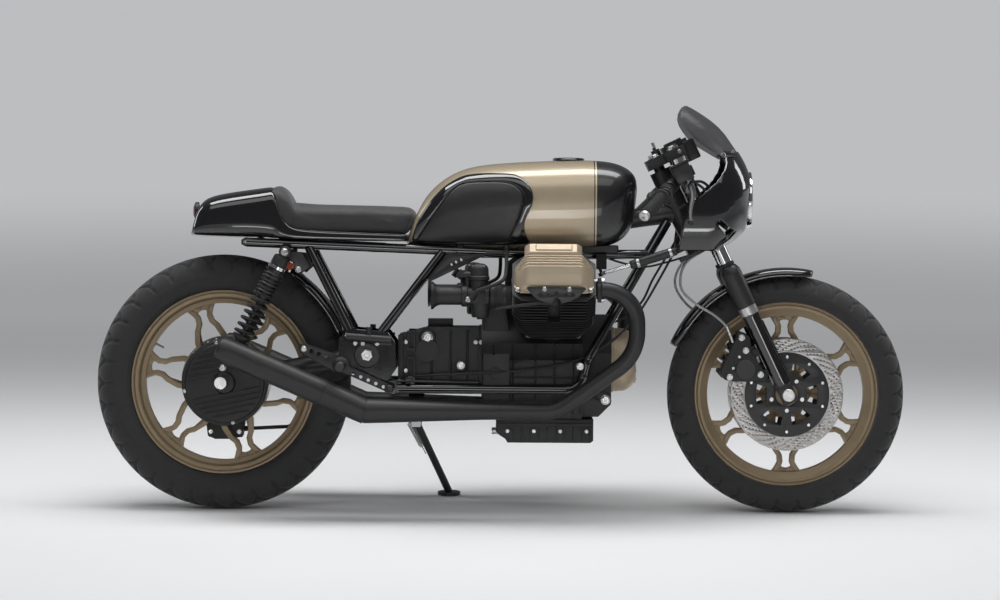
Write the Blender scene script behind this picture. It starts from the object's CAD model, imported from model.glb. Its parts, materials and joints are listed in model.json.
# %% [markdown]
# # A cafe racer on its side stand
# This file dresses a packed motorcycle frame in Blender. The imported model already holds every
# node in its true place, so each new piece is drawn in the machine's own upright frame (X to the
# front, Y to the rider's left, Z up, in millimetres) and then leaned over by one matrix.
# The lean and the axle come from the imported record, so nothing has to be fitted by eye.

# %% Load the frame
import json
import math
import bmesh
import bpy
from mathutils import Matrix, Vector
from mathutils.bvhtree import BVHTree


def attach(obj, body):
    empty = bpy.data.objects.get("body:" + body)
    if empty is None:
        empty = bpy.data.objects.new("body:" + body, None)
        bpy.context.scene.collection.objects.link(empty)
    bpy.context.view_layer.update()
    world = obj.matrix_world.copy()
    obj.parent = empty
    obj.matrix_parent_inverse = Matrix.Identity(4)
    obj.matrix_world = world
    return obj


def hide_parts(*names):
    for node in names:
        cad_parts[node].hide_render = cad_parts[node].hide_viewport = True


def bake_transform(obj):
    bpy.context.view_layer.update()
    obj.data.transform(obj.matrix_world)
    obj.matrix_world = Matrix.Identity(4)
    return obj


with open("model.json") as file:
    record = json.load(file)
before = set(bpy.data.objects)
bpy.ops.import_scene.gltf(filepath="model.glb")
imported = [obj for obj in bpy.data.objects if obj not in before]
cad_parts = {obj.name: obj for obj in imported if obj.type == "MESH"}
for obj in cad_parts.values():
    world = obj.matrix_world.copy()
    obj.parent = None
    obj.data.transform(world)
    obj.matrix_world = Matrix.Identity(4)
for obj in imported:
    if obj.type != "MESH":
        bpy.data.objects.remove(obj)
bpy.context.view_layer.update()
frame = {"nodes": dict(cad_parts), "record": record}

# %% The machine's upright frame
joints = {j["name"]: j for j in frame["record"]["behaviour"]["joints"]}
FRONT_RADIUS = 317
REAR_RADIUS = 340
FRONT = Vector((752.5, 0, FRONT_RADIUS))
REAR = Vector((-752.5, 0, REAR_RADIUS))
AHEAD = (1, 0, 0)
LEFTWARD = (0, 1, 0)
RIGHTWARD = (0, -1, 0)
UP = (0, 0, 1)
RAKE = math.radians(25.5)
FORK_HALF = 92.5
STAGGER = 16
spin_axis = joints["front_wheel_spin"]["axis"]
lean = math.atan2(-spin_axis[2], spin_axis[1])
turn_over = Matrix.Rotation(-lean, 4, "X")
shift = 1000 * Vector(joints["front_wheel_spin"]["pos_m"]) - turn_over @ FRONT
PARK = Matrix.Scale(0.001, 4) @ Matrix.Translation(shift) @ turn_over
FORK = PARK @ Matrix.Translation(FRONT) @ Matrix.Rotation(-RAKE, 4, "Y")
print("lean in degrees:", round(math.degrees(lean), 2), "shift in mm:", [round(v, 2) for v in shift])

# %% [markdown]
# ## Camera
# The view is from the right, about nine metres away with a long lens, so the machine looks
# nearly square on. The camera looks slightly down and is rolled by a fraction of a degree.

# %% Camera
PITCH = math.radians(6.44)
ROLL = math.radians(0.392)
ahead = Vector((0, math.cos(PITCH), -math.sin(PITCH)))
level_up = Vector((0, math.sin(PITCH), math.cos(PITCH)))
right = Vector((math.cos(ROLL), 0, 0)) + math.sin(ROLL) * level_up
up = math.cos(ROLL) * level_up - Vector((math.sin(ROLL), 0, 0))
camera = bpy.data.objects.new("camera", bpy.data.cameras.new("camera"))
bpy.context.collection.objects.link(camera)
camera.data.sensor_width = 36
camera.data.lens = 122.2
camera.data.clip_end = 300
BACK = 9000
HEIGHT = 1582.6
spot = Vector((shift.x - 14.2, shift.y - BACK, HEIGHT)) / 1000
turn = Matrix((right, up, -ahead)).transposed().to_4x4()
camera.matrix_world = Matrix.Translation(spot) @ turn
bpy.context.scene.camera = camera
print("camera at", [round(v, 3) for v in camera.location])

# %% [markdown]
# ## Shape helpers
# Each helper returns points and faces in millimetres. A tube follows a path, a lathe turns a
# profile about an axis, a cutout is a flat outline with holes, and a loft joins rings of points.

# %% Tubes and rings
def ring(centre, normal, start, radius, sides):
    side = normal.cross(start)
    step = 2 * math.pi / sides
    return [centre + radius * (math.cos(k * step) * start + math.sin(k * step) * side) for k in range(sides)]


def skin(rings, closed=True, caps=True, loop=False):
    count = len(rings[0])
    verts = [tuple(p) for r in rings for p in r]
    faces = []
    for i in range(len(rings) if loop else len(rings) - 1):
        j = (i + 1) % len(rings)
        for k in range(count if closed else count - 1):
            m = (k + 1) % count
            faces.append((i * count + k, i * count + m, j * count + m, j * count + k))
    if caps and not loop:
        faces.append(tuple(reversed(range(count))))
        faces.append(tuple(range((len(rings) - 1) * count, len(rings) * count)))
    return verts, faces


def tube(path, radius, sides=16):
    points = [Vector(p) for p in path]
    radii = radius if isinstance(radius, (list, tuple)) else [radius] * len(points)
    heading = (points[1] - points[0]).normalized()
    start = heading.orthogonal().normalized()
    rings = []
    for i, p in enumerate(points):
        ahead_of = points[min(i + 1, len(points) - 1)]
        behind = points[max(i - 1, 0)]
        new = (ahead_of - behind).normalized()
        start = heading.rotation_difference(new) @ start
        heading = new
        rings.append(ring(p, heading, start, radii[i], sides))
    return skin(rings)


def rounded(points, radius, step=8):
    points = [Vector(p) for p in points]
    radii = radius if isinstance(radius, (list, tuple)) else [radius] * len(points)
    path = [points[0]]
    for i in range(1, len(points) - 1):
        u = (points[i] - points[i - 1]).normalized()
        v = (points[i + 1] - points[i]).normalized()
        radius = radii[i - 1]
        angle = u.angle(v)
        across = (v - u.dot(v) * u).normalized()
        centre = points[i] - radius * math.tan(angle / 2) * u + radius * across
        count = max(2, math.ceil(math.degrees(angle) / step))
        for k in range(count + 1):
            a = angle * k / count
            path.append(centre + radius * (math.sin(a) * u - math.cos(a) * across))
    return path + [points[-1]]


def flowing(points, pieces=8):
    p = [Vector(q) for q in points]
    p = [2 * p[0] - p[1]] + p + [2 * p[-1] - p[-2]]
    path = []
    for i in range(1, len(p) - 2):
        for k in range(pieces):
            t = k / pieces
            path.append(0.5 * (2 * p[i] + t * (p[i + 1] - p[i - 1])
                               + t * t * (2 * p[i - 1] - 5 * p[i] + 4 * p[i + 1] - p[i + 2])
                               + t ** 3 * (3 * p[i] - p[i - 1] - 3 * p[i + 1] + p[i + 2])))
    return path + [p[-2]]


def along(a, b, t):
    return Vector(a) + t * (Vector(b) - Vector(a))


# %% Lathes, bars, bolts and blocks
def lathe(profile, base, axis, sides=48, loop=False):
    axis = Vector(axis).normalized()
    start = axis.orthogonal().normalized()
    rings = [ring(Vector(base) + h * axis, axis, start, max(r, 0.01), sides) for h, r in profile]
    return skin(rings, caps=not loop, loop=loop)


def bar(a, b, radius, end_radius=None, sides=24):
    a, b = Vector(a), Vector(b)
    length = (b - a).length
    last = radius if end_radius is None else end_radius
    edge = min(0.6, length / 4)
    return lathe([(0, radius - edge), (edge, radius), (length - edge, last), (length, last - edge)], a,
                 b - a, sides)


def bolt(at, axis, across=13, height=8):
    axis = Vector(axis).normalized()
    at = Vector(at)
    washer = lathe([(-1, across * 0.66), (1.2, across * 0.66), (1.8, across * 0.6)], at, axis, 20)
    hexagon = lathe([(1.6, across * 0.53), (height - 1.2, across * 0.55), (height, across * 0.46),
                     (height, across * 0.26), (height - 3, across * 0.22)], at, axis, 6)
    return joined(washer, hexagon)


def block(low, high):
    (x0, y0, z0), (x1, y1, z1) = low, high
    verts = [(x, y, z) for x in (x0, x1) for y in (y0, y1) for z in (z0, z1)]
    faces = [(0, 1, 3, 2), (4, 6, 7, 5), (0, 4, 5, 1), (2, 3, 7, 6), (0, 2, 6, 4), (1, 5, 7, 3)]
    return verts, faces


def joined(*shapes):
    verts, faces = [], []
    for v, f in shapes:
        start = len(verts)
        verts += v
        faces += [tuple(i + start for i in face) for face in f]
    return verts, faces


def mirrored(shape, back=0):
    verts, faces = shape
    return [(v[0] - back, -v[1], v[2]) for v in verts], [tuple(reversed(f)) for f in faces]


def both(shape, back=0):
    return joined(shape, mirrored(shape, back))


def moved(shape, matrix):
    verts, faces = shape
    return [tuple(matrix @ Vector(v)) for v in verts], faces


def turned(shape, centre, degrees):
    centre = Vector(centre)
    turn_there = Matrix.Rotation(math.radians(degrees), 4, "Y")
    return moved(shape, Matrix.Translation(centre) @ turn_there @ Matrix.Translation(-centre))


# %% Flat outlines with holes
def disc_outline(x, z, radius, count=16):
    step = 2 * math.pi / count
    return [(x + radius * math.cos(k * step), z + radius * math.sin(k * step)) for k in range(count)]


def cutout(outlines, y0, y1, edge=1.0):
    curve = bpy.data.curves.new("outline", "CURVE")
    curve.dimensions = "2D"
    curve.fill_mode = "BOTH"
    curve.extrude = max((y1 - y0) / 2 - edge, 0.01)
    curve.bevel_depth = edge
    curve.bevel_resolution = 1
    curve.offset = -edge
    for outline in outlines:
        spline = curve.splines.new("POLY")
        spline.points.add(len(outline) - 1)
        for point, (x, z) in zip(spline.points, outline):
            point.co = (x, z, 0, 1)
        spline.use_cyclic_u = True
    holder = bpy.data.objects.new("outline", curve)
    bpy.context.collection.objects.link(holder)
    bpy.context.view_layer.update()
    mesh = bpy.data.meshes.new_from_object(holder.evaluated_get(bpy.context.evaluated_depsgraph_get()))
    bm = bmesh.new()
    bm.from_mesh(mesh)
    bmesh.ops.remove_doubles(bm, verts=bm.verts, dist=0.01)
    middle = (y0 + y1) / 2
    verts = [(v.co.x, middle - v.co.z, v.co.y) for v in bm.verts]
    faces = [tuple(v.index for v in f.verts) for f in bm.faces]
    bm.free()
    bpy.data.objects.remove(holder)
    bpy.data.curves.remove(curve)
    bpy.data.meshes.remove(mesh)
    return verts, faces


# %% Making one piece
def piece(name, body, parts, nodes=(), matrix=PARK, bevel=0, subdiv=0, sharp=38):
    mesh = bpy.data.meshes.new(name)
    verts, faces, marks, finishes = [], [], [], []
    for (part_verts, part_faces), finish in parts:
        if finish not in finishes:
            finishes.append(finish)
        start = len(verts)
        verts += [matrix @ Vector(v) for v in part_verts]
        faces += [tuple(i + start for i in f) for f in part_faces]
        marks += [finishes.index(finish)] * len(part_faces)
    mesh.from_pydata(verts, [], faces)
    for finish in finishes:
        mesh.materials.append(finish)
    mesh.polygons.foreach_set("material_index", marks)
    bm = bmesh.new()
    bm.from_mesh(mesh)
    bmesh.ops.recalc_face_normals(bm, faces=bm.faces)
    for f in bm.faces:
        f.smooth = True
    for e in bm.edges:
        e.smooth = len(e.link_faces) != 2 or e.calc_face_angle(0) < math.radians(sharp)
    bm.to_mesh(mesh)
    bm.free()
    thing = bpy.data.objects.new(name, mesh)
    bpy.context.collection.objects.link(thing)
    if subdiv:
        thing.modifiers.new("smooth", "SUBSURF").levels = subdiv
        thing.modifiers["smooth"].render_levels = subdiv
    if bevel:
        edge = thing.modifiers.new("edges", "BEVEL")
        edge.width = bevel / 1000
        edge.segments = 2
        edge.limit_method = "ANGLE"
        edge.angle_limit = math.radians(sharp)
        edge.harden_normals = False
    if body:
        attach(thing, body)
    if nodes:
        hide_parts(*nodes)
    print(name, "faces:", len(mesh.polygons))
    return thing


# %% [markdown]
# ## Finishes
# Every finish is one shader with three layers of noise: a slow one that shifts the colour, one
# that changes the roughness like handling and dust do, and a fine one that bumps the surface.
# Numbers that are the same everywhere (coat, sheen, metal) sit on the shader's own sockets.

# %% Finish maker
def finish(name, colour, metal=0.0, rough=0.4, spread=0.1, shade=0.85, slow=9, fine=600, bump=0.05,
           coat=0.0, sheen=0.0, glow=1.0, stretch=(1, 1, 1)):
    made = bpy.data.materials.new(name)
    made.use_nodes = True
    nodes, links = made.node_tree.nodes, made.node_tree.links
    shader = nodes["Principled BSDF"]
    place = nodes.new("ShaderNodeTexCoord")
    scaling = nodes.new("ShaderNodeMapping")
    scaling.inputs["Scale"].default_value = stretch
    links.new(place.outputs["Object"], scaling.inputs["Vector"])

    def noise(scale, detail):
        n = nodes.new("ShaderNodeTexNoise")
        n.inputs["Scale"].default_value = scale
        n.inputs["Detail"].default_value = detail
        links.new(scaling.outputs["Vector"], n.inputs["Vector"])
        return n.outputs["Fac"]

    mix = nodes.new("ShaderNodeMix")
    mix.data_type = "RGBA"
    mix.inputs["A"].default_value = (*[c * shade for c in colour], 1)
    mix.inputs["B"].default_value = (*colour, 1)
    links.new(noise(slow, 5), mix.inputs["Factor"])
    links.new(mix.outputs["Result"], shader.inputs["Base Color"])
    roughness = nodes.new("ShaderNodeMapRange")
    roughness.inputs["To Min"].default_value = max(rough - spread, 0.02)
    roughness.inputs["To Max"].default_value = min(rough + spread, 1)
    links.new(noise(slow * 4, 8), roughness.inputs["Value"])
    links.new(roughness.outputs["Result"], shader.inputs["Roughness"])
    if bump:
        bumps = nodes.new("ShaderNodeBump")
        bumps.inputs["Strength"].default_value = bump
        bumps.inputs["Distance"].default_value = 0.001
        links.new(noise(fine, 3), bumps.inputs["Height"])
        links.new(bumps.outputs["Normal"], shader.inputs["Normal"])
    shader.inputs["Metallic"].default_value = metal
    shader.inputs["Coat Weight"].default_value = coat
    shader.inputs["Coat Roughness"].default_value = 0.04
    shader.inputs["Sheen Weight"].default_value = sheen
    shader.inputs["Specular IOR Level"].default_value = 0.5 * glow
    return made


GLOSS = finish("gloss_black", (0.006, 0.006, 0.007), rough=0.12, spread=0.05, bump=0.006, fine=120, coat=1.0)
SATIN = finish("satin_black", (0.017, 0.017, 0.018), rough=0.42, bump=0.08, fine=900)
CAST = finish("cast_black", (0.009, 0.009, 0.0095), rough=0.52, spread=0.14, bump=0.35, fine=700, slow=30)
EXHAUST = finish("exhaust_coating", (0.012, 0.012, 0.013), rough=0.46, spread=0.07, bump=0.12, fine=1200,
                 slow=6)
GOLD_CAST = finish("champagne_casting", (0.46, 0.375, 0.27), metal=0.4, rough=0.43, spread=0.1,
                   bump=0.22, fine=700, slow=25)
BRONZE = finish("bronze_casting", (0.30, 0.228, 0.143), metal=0.45, rough=0.46, spread=0.1, shade=0.8,
                bump=0.2, fine=800, slow=22)
STEEL = finish("brushed_steel", (0.55, 0.55, 0.54), metal=1.0, rough=0.3, spread=0.12, bump=0.06,
               fine=500, stretch=(1, 8, 1))
DISC = finish("disc_steel", (0.42, 0.41, 0.40), metal=1.0, rough=0.36, spread=0.1, bump=0.1, fine=900)
CHROME = finish("chrome", (0.72, 0.72, 0.73), metal=1.0, rough=0.07, spread=0.04, bump=0.01)
ALLOY = finish("bare_alloy", (0.60, 0.60, 0.59), metal=1.0, rough=0.38, spread=0.1, bump=0.12, fine=900)
RUBBER = finish("rubber", (0.018, 0.018, 0.018), rough=0.75, spread=0.12, bump=0.25, fine=900)
TYRE = finish("tyre_rubber", (0.021, 0.021, 0.022), rough=0.78, spread=0.1, shade=0.75, slow=14,
              bump=0.2, fine=900, sheen=0.15)
HOSE = finish("hose_sheath", (0.33, 0.33, 0.32), rough=0.4, metal=0.6, bump=0.4, fine=1500)
AMBER = finish("amber_lens", (0.24, 0.035, 0.005), rough=0.2, bump=0.2, fine=500, coat=0.6)
RED = finish("red_lens", (0.12, 0.006, 0.005), rough=0.15, bump=0.2, fine=400, coat=0.8)
print("finishes:", len(bpy.data.materials))

# %% [markdown]
# ## Tyres
# A tyre is a ring whose cross-section is nearly a circle above the rim. The tread is real
# geometry: the running surface is a fine grid, and points inside a groove pattern sink by a few
# millimetres. The grooves are slanted slots that start near the middle and reach the shoulder.

# %% Tyre grid
AROUND = 560
BEAD_INNER, BEAD_OUTER = 229, 246
DEEPEST = 4.6
SHOULDER = 62


def groove_depth(turn, lean_angle, slots):
    reach = abs(lean_angle) / SHOULDER
    if reach > 1.25:
        return 0
    side = 0 if lean_angle > 0 else 0.5
    phase = (turn * slots + side + 0.9 * reach + 0.25 * math.sin(3 * reach)) % 1
    fade = min(1, max(0, reach - 0.12) * 9) * min(1, max(0, 1.2 - reach) * 9)
    slot = max(0, 1 - abs(phase - 0.5) / 0.1) * fade
    cross_phase = (turn * slots + side + 0.35 - 0.5 * reach) % 1
    cross = max(0, 1 - abs(cross_phase - 0.5) / 0.08) * (1 if 0.42 < reach < 0.78 else 0)
    return DEEPEST * min(1, 1.8 * max(slot, cross))


def tyre_piece(name, body, node, centre, radius, width, bead_half, slots):
    half = width / 2
    bead_side = Vector((0, bead_half, 0))
    rings = []
    for i in range(AROUND):
        a = 2 * math.pi * i / AROUND
        out = Vector((math.cos(a), 0, math.sin(a)))
        line = [centre + out * BEAD_INNER - bead_side, centre + out * BEAD_OUTER - bead_side]
        for t in range(-112, 113, 4):
            r = half - groove_depth(i / AROUND, t, slots)
            r += 0.9 * (abs(abs(t) - 84) < 3) + 0.7 * (abs(abs(t) - 100) < 3)
            line.append(centre + out * (radius - half + r * math.cos(math.radians(t)))
                        + Vector((0, r * math.sin(math.radians(t)), 0)))
        line += [centre + out * BEAD_OUTER + bead_side, centre + out * BEAD_INNER + bead_side]
        rings.append(line)
    return piece(name, body, [(skin(rings, loop=True), TYRE)], [node], sharp=60)


tyre_piece("front_tyre_tread", "front_wheel", "front_tyre", FRONT, FRONT_RADIUS, 102, 28.6, 34)
tyre_piece("rear_tyre_tread", "rear_wheel", "rear_tyre", REAR, REAR_RADIUS, 124, 34.6, 34)

# %% [markdown]
# ## Cast wheels
# Each wheel is a turned barrel, a hub and six wishbone spokes. A spoke is two ribs that pinch
# together and spread again at the rim, with a thinner web between them that leaves a slot.


# %% Spokes and barrel
def wheel_piece(name, body, node, centre, half, hub_right, hub_left, bore, phase):
    barrel = [(-half, 245), (-half, 240.5), (-half + 2.5, 238), (-half + 6, 236), (-half + 10, 227),
              (-22, 221), (-18, 210), (18, 210), (22, 221), (half - 10, 227), (half - 6, 236),
              (half - 2.5, 238), (half, 240.5), (half, 245), (half - 5, 245.6), (half - 7, 229),
              (-half + 7, 229), (-half + 5, 245.6)]
    parts = [(lathe(barrel, centre, LEFTWARD, 128, loop=True), BRONZE)]
    hub = [(-hub_right, bore), (-hub_right, 40), (-hub_right + 8, 44), (-26, 50), (-20, 55), (20, 55),
           (26, 50), (hub_left - 8, 44), (hub_left, 40), (hub_left, bore)]
    parts.append((lathe(hub, centre, LEFTWARD, 64, loop=True), BRONZE))
    rib = [(36, 24), (80, 27), (118, 29), (148, 20), (163, 10.5), (182, 9), (194, 13), (201, 19), (207, 27),
           (214, 28), (215, 38), (208, 39), (196, 31), (183, 23.5), (167, 24.5), (152, 34), (120, 44),
           (80, 43), (34, 40)]
    web = [(190, 24), (194, 15), (198, 7), (199, 0), (215, 0), (215, 37), (205, 36), (197, 31)]
    thin = rib[:9] + [(201, 24), (190, 17), (166, 17), (150, 27), (80, 35)]
    shapes = []
    for side in (1, -1):
        shapes.append(cutout([[(x, side * z) for x, z in rib]], -13, 13, 2.0))
        shapes.append(cutout([[(x, side * z) for x, z in thin]], -9, 9, 1.5))
        shapes.append(cutout([[(x, side * z) for x, z in web]], -8.5, 8.5, 1.5))
    shapes.append(block((36, -10, -28), (62, 10, 28)))
    spoke = moved(joined(*shapes), Matrix.Translation(centre))
    for k in range(6):
        parts.append((turned(spoke, centre, phase + 60 * k), BRONZE))
    valve = bar(centre + Vector((0, 4, -226)), centre + Vector((0, 20, -188)), 4, 3)
    parts.append((turned(valve, centre, 118), STEEL))
    return piece(name, body, parts, [node], sharp=30)


wheel_piece("front_wheel_casting", "front_wheel", "front_rim", FRONT, 36, 58.7, 58.7, 8.6, 29)
wheel_piece("rear_wheel_casting", "rear_wheel", "rear_rim", REAR, 42, 60, 62.6, 10.1, 12)

# %% [markdown]
# ## Brake discs
# A disc is a drilled steel ring held by small bobbins on a black carrier with windows.


# %% Drilled rings and carriers
def brake_disc(y, centre, outer, inner, rows, each, hub):
    holes = []
    for row in range(rows):
        r = inner + 7 + row * (outer - inner - 13) / (rows - 1)
        for k in range(each):
            a = 2 * math.pi * (k + 0.5 * (row % 2) + 0.17 * row) / each
            holes.append(disc_outline(r * math.cos(a), r * math.sin(a), 2.3, 8))
    drilled = cutout([disc_outline(0, 0, outer, 96), disc_outline(0, 0, inner, 72)] + holes, y - 3, y + 3,
                     0.3)
    windows = []
    for k in range(6):
        arc = [math.radians(60 * k + d) for d in (-19, -10, 0, 10, 19)]
        windows.append([((inner - 30) * math.cos(a), (inner - 30) * math.sin(a)) for a in arc]
                       + [((inner - 58) * math.cos(a), (inner - 58) * math.sin(a)) for a in reversed(arc)])
    carrier = cutout([disc_outline(0, 0, inner + 1, 72), disc_outline(0, 0, hub, 48)] + windows, y - 2.4,
                     y + 2.4, 0.5)
    parts = [(moved(drilled, Matrix.Translation(centre)), DISC),
             (moved(carrier, Matrix.Translation(centre)), SATIN)]
    for k in range(10):
        a = math.radians(36 * k + 18)
        for r, across in ((inner - 13, 8), (hub + 13, 11)):
            if across == 8 or k % 2:
                spot_at = centre + Vector((r * math.cos(a), y, r * math.sin(a)))
                half_long = Vector((0, 3, 0))
                parts.append((bar(spot_at - half_long, spot_at + half_long, across / 2, sides=16), STEEL))
    return parts


front_parts = []
for y in (62, -62):
    front_parts += brake_disc(y, FRONT, 150, 113, 6, 34, 30)
piece("front_brake_discs", "front_wheel", front_parts, ["front_discs"], sharp=30)
piece("rear_brake_disc", "rear_wheel", brake_disc(66, REAR, 121, 90, 5, 30, 30), ["rear_disc"],
      sharp=30)

# %% [markdown]
# ## Fuel tank
# The tank is lofted from rings. Each ring sits between a point on the belly line and a point on
# the back line, and its cross-section is a superellipse, flatter below than on top.
# The colours are split across the tank at one place, so the paint reads the X coordinate.

# %% Tank paint
tank_paint = finish("tank_paint", (0.42, 0.345, 0.24), metal=0.35, rough=0.36, spread=0.03, shade=0.95,
                    bump=0.008, fine=900, coat=0.8)
tank_nodes, tank_links = tank_paint.node_tree.nodes, tank_paint.node_tree.links
tank_shader = tank_nodes["Principled BSDF"]
where = tank_nodes.new("ShaderNodeTexCoord")
split = tank_nodes.new("ShaderNodeSeparateXYZ")
tank_links.new(where.outputs["Object"], split.inputs[0])
gold_colour = tank_shader.inputs["Base Color"].links[0].from_socket


def stripe_mix(start, colour, source):
    later = tank_nodes.new("ShaderNodeMath")
    later.operation = "GREATER_THAN"
    later.inputs[1].default_value = (start + shift.x) / 1000
    tank_links.new(split.outputs["X"], later.inputs[0])
    mix = tank_nodes.new("ShaderNodeMix")
    mix.data_type = "RGBA"
    tank_links.new(later.outputs[0], mix.inputs["Factor"])
    tank_links.new(source, mix.inputs["A"])
    mix.inputs["B"].default_value = (*colour, 1)
    return mix.outputs["Result"], later.outputs[0]


paint = gold_colour
for start, colour in ((233.0, (0.008, 0.008, 0.009)), (236.0, (0.55, 0.45, 0.29)),
                      (240.0, (0.006, 0.006, 0.007))):
    paint, front_half = stripe_mix(start, colour, paint)
tank_links.new(paint, tank_shader.inputs["Base Color"])
metal_share = tank_nodes.new("ShaderNodeMapRange")
metal_share.inputs["To Min"].default_value = 0.35
metal_share.inputs["To Max"].default_value = 0.0
tank_links.new(front_half, metal_share.inputs["Value"])
tank_links.new(metal_share.outputs["Result"], tank_shader.inputs["Metallic"])

# %% Tank body
TANK = [((-266, 716), (-258, 738), 66), ((-263, 710), (-244, 780), 90), ((-240, 705.5), (-226, 820), 102),
        ((-208, 703), (-204, 853), 112), ((-160, 702), (-162, 891), 126), ((-105, 702), (-108, 916), 138),
        ((-50, 702), (-54, 926), 147), ((20, 702), (20, 932), 153), ((90, 702), (95, 936), 156),
        ((160, 702.5), (168, 938.5), 153), ((222, 704), (236, 939.5), 147), ((266, 708), (290, 934), 136),
        ((300, 718), (326, 918), 119), ((327, 740), (346, 898), 92), ((342, 775), (353, 872), 56)]


def tank_ring(low, high, half_width):
    points = []
    centre_x, centre_z = (low[0] + high[0]) / 2, (low[1] + high[1]) / 2
    for k in range(40):
        a = 2 * math.pi * k / 40
        c, s = math.cos(a), math.sin(a)
        power = 2 / (2.9 if s > 0 else 4.6)
        y = half_width * math.copysign(abs(c) ** power, c)
        up_share = math.copysign(abs(s) ** power, s)
        if s < 0:
            y *= 1 - 0.10 * abs(up_share)
        points.append((centre_x + up_share * (high[0] - low[0]) / 2, y,
                       centre_z + up_share * (high[1] - low[1]) / 2))
    return points


tank_shape = skin([tank_ring(*row) for row in TANK])
piece("tank_body", "chassis", [(tank_shape, tank_paint)], ["fuel_tank"], subdiv=2,
      sharp=80)
tunnel = joined(block((-262, -88, 690), (300, 88, 712)), block((-150, -60, 676), (330, 60, 700)))
piece("tank_tunnel", "chassis", [(tunnel, SATIN)], bevel=4)
tank_surface = BVHTree.FromPolygons([Vector(v) for v in tank_shape[0]], tank_shape[1])


def tank_side(x, z):
    hit = tank_surface.ray_cast(Vector((x, -400, z)), Vector(LEFTWARD))[0]
    return hit.y if hit else 0.0


# %% [markdown]
# ## Knee panels and filler
# A glossy raised border with a satin pad inside covers the hollow where the knee grips the tank.
# Both outlines have the same number of points, so rings between them can be laid on the tank's
# side. Where a point would fall off the side it is pulled in until it lands on it.

# %% Knee panels
def resampled(outline, count):
    loop = flowing(outline + [outline[0]], 10)
    lengths = [0]
    for a, b in zip(loop, loop[1:]):
        lengths.append(lengths[-1] + (b - a).length)
    result, j = [], 0
    for k in range(count):
        want = lengths[-1] * k / count
        while lengths[j + 1] < want:
            j += 1
        result.append(loop[j].lerp(loop[j + 1], (want - lengths[j]) / (lengths[j + 1] - lengths[j] + 1e-9)))
    return result


PANEL = [(-250, 0, 716), (-248, 0, 730), (-236, 0, 766), (-214, 0, 806), (-190, 0, 839), (-156, 0, 871),
         (-116, 0, 893), (-75, 0, 900), (-34, 0, 901), (6, 0, 900), (30, 0, 895), (54, 0, 878),
         (69, 0, 853), (71, 0, 828), (67, 0, 811), (55, 0, 787), (49, 0, 766), (51, 0, 745), (58, 0, 728),
         (62, 0, 716), (20, 0, 711), (-60, 0, 710), (-150, 0, 710), (-220, 0, 712)]
PAD = [(-238, 0, 720), (-232, 0, 729), (-214, 0, 756), (-190, 0, 792), (-166, 0, 826), (-146, 0, 851),
       (-124, 0, 868), (-96, 0, 875), (-56, 0, 877), (-14, 0, 877), (14, 0, 872), (35, 0, 860),
       (45, 0, 843), (44, 0, 826), (40, 0, 806), (33, 0, 784), (25, 0, 762), (18, 0, 742), (13, 0, 728),
       (9, 0, 719), (-20, 0, 717), (-80, 0, 717), (-150, 0, 717), (-210, 0, 718)]
PANEL_POINTS = 96
outer = resampled(PANEL, PANEL_POINTS)
inner = resampled(PAD, PANEL_POINTS)
middle = Vector((-90, 0, 790))


def panel_ring(share, lift, shrink=1.0):
    result = []
    for rim, pad_edge in zip(outer, inner):
        wanted = rim.lerp(pad_edge, share)
        q = middle + (wanted - middle) * shrink
        landed = q
        for k in range(30):
            if tank_side(landed.x, landed.z) < -52:
                break
            landed = q.lerp(middle, 0.012 * (k + 1))
        result.append((landed.x, tank_side(landed.x, landed.z) - lift, landed.z))
    return result


BORDER = [(0, -4), (0, 2.5), (0.06, 5.0), (0.2, 6.6), (0.5, 6.4), (0.8, 5.6), (0.93, 4.0), (0.99, 1.4)]
CENTRE = [(1.0, 1), (3.6, 0.985), (4.6, 0.95), (4.8, 0.7), (4.8, 0.45), (4.8, 0.2), (4.8, 0.03)]
frame_rings = [panel_ring(share, lift) for share, lift in BORDER]
pad_rings = [panel_ring(1, lift, shrink) for lift, shrink in CENTRE]
knee = [(both(skin(frame_rings, caps=False)), GLOSS), (both(skin(pad_rings, caps=True)), SATIN)]
piece("knee_panels", "chassis", knee, sharp=60)
cap_profile = [(-2, 43), (5, 43), (7.5, 41), (8.5, 37), (8.2, 30), (9.4, 28), (9.4, 0.01)]
cap = [(lathe(cap_profile, (167, 0, 936), UP, 64), GLOSS),
       (joined(*[bolt((167 + 33 * math.cos(a), 33 * math.sin(a), 944), UP, 4.5, 2.4)
                 for a in [math.pi * k / 3 for k in range(6)]]), STEEL)]
piece("filler_cap", "chassis", cap, ["fuel_cap"])

# %% [markdown]
# ## Tail cowl and seat
# The cowl is a glossy shell lofted like the tank, standing on a long tray that runs under the
# seat. The seat is two stuffed pads: they are remeshed evenly, blown up a little as cloth under
# pressure, and the movement is capped so that they stay in their place.

# %% Cowl and tray
def body_ring(x, low, high, half_width, top_power=3.0, low_power=5.0, count=36, tilt=0):
    points = []
    for k in range(count):
        a = 2 * math.pi * k / count
        c, s = math.cos(a), math.sin(a)
        power = 2 / (top_power if s > 0 else low_power)
        rise = math.copysign(abs(s) ** power, s)
        points.append((x + tilt * rise, half_width * math.copysign(abs(c) ** power, c),
                       (low + high) / 2 + rise * (high - low) / 2))
    return points


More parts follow.
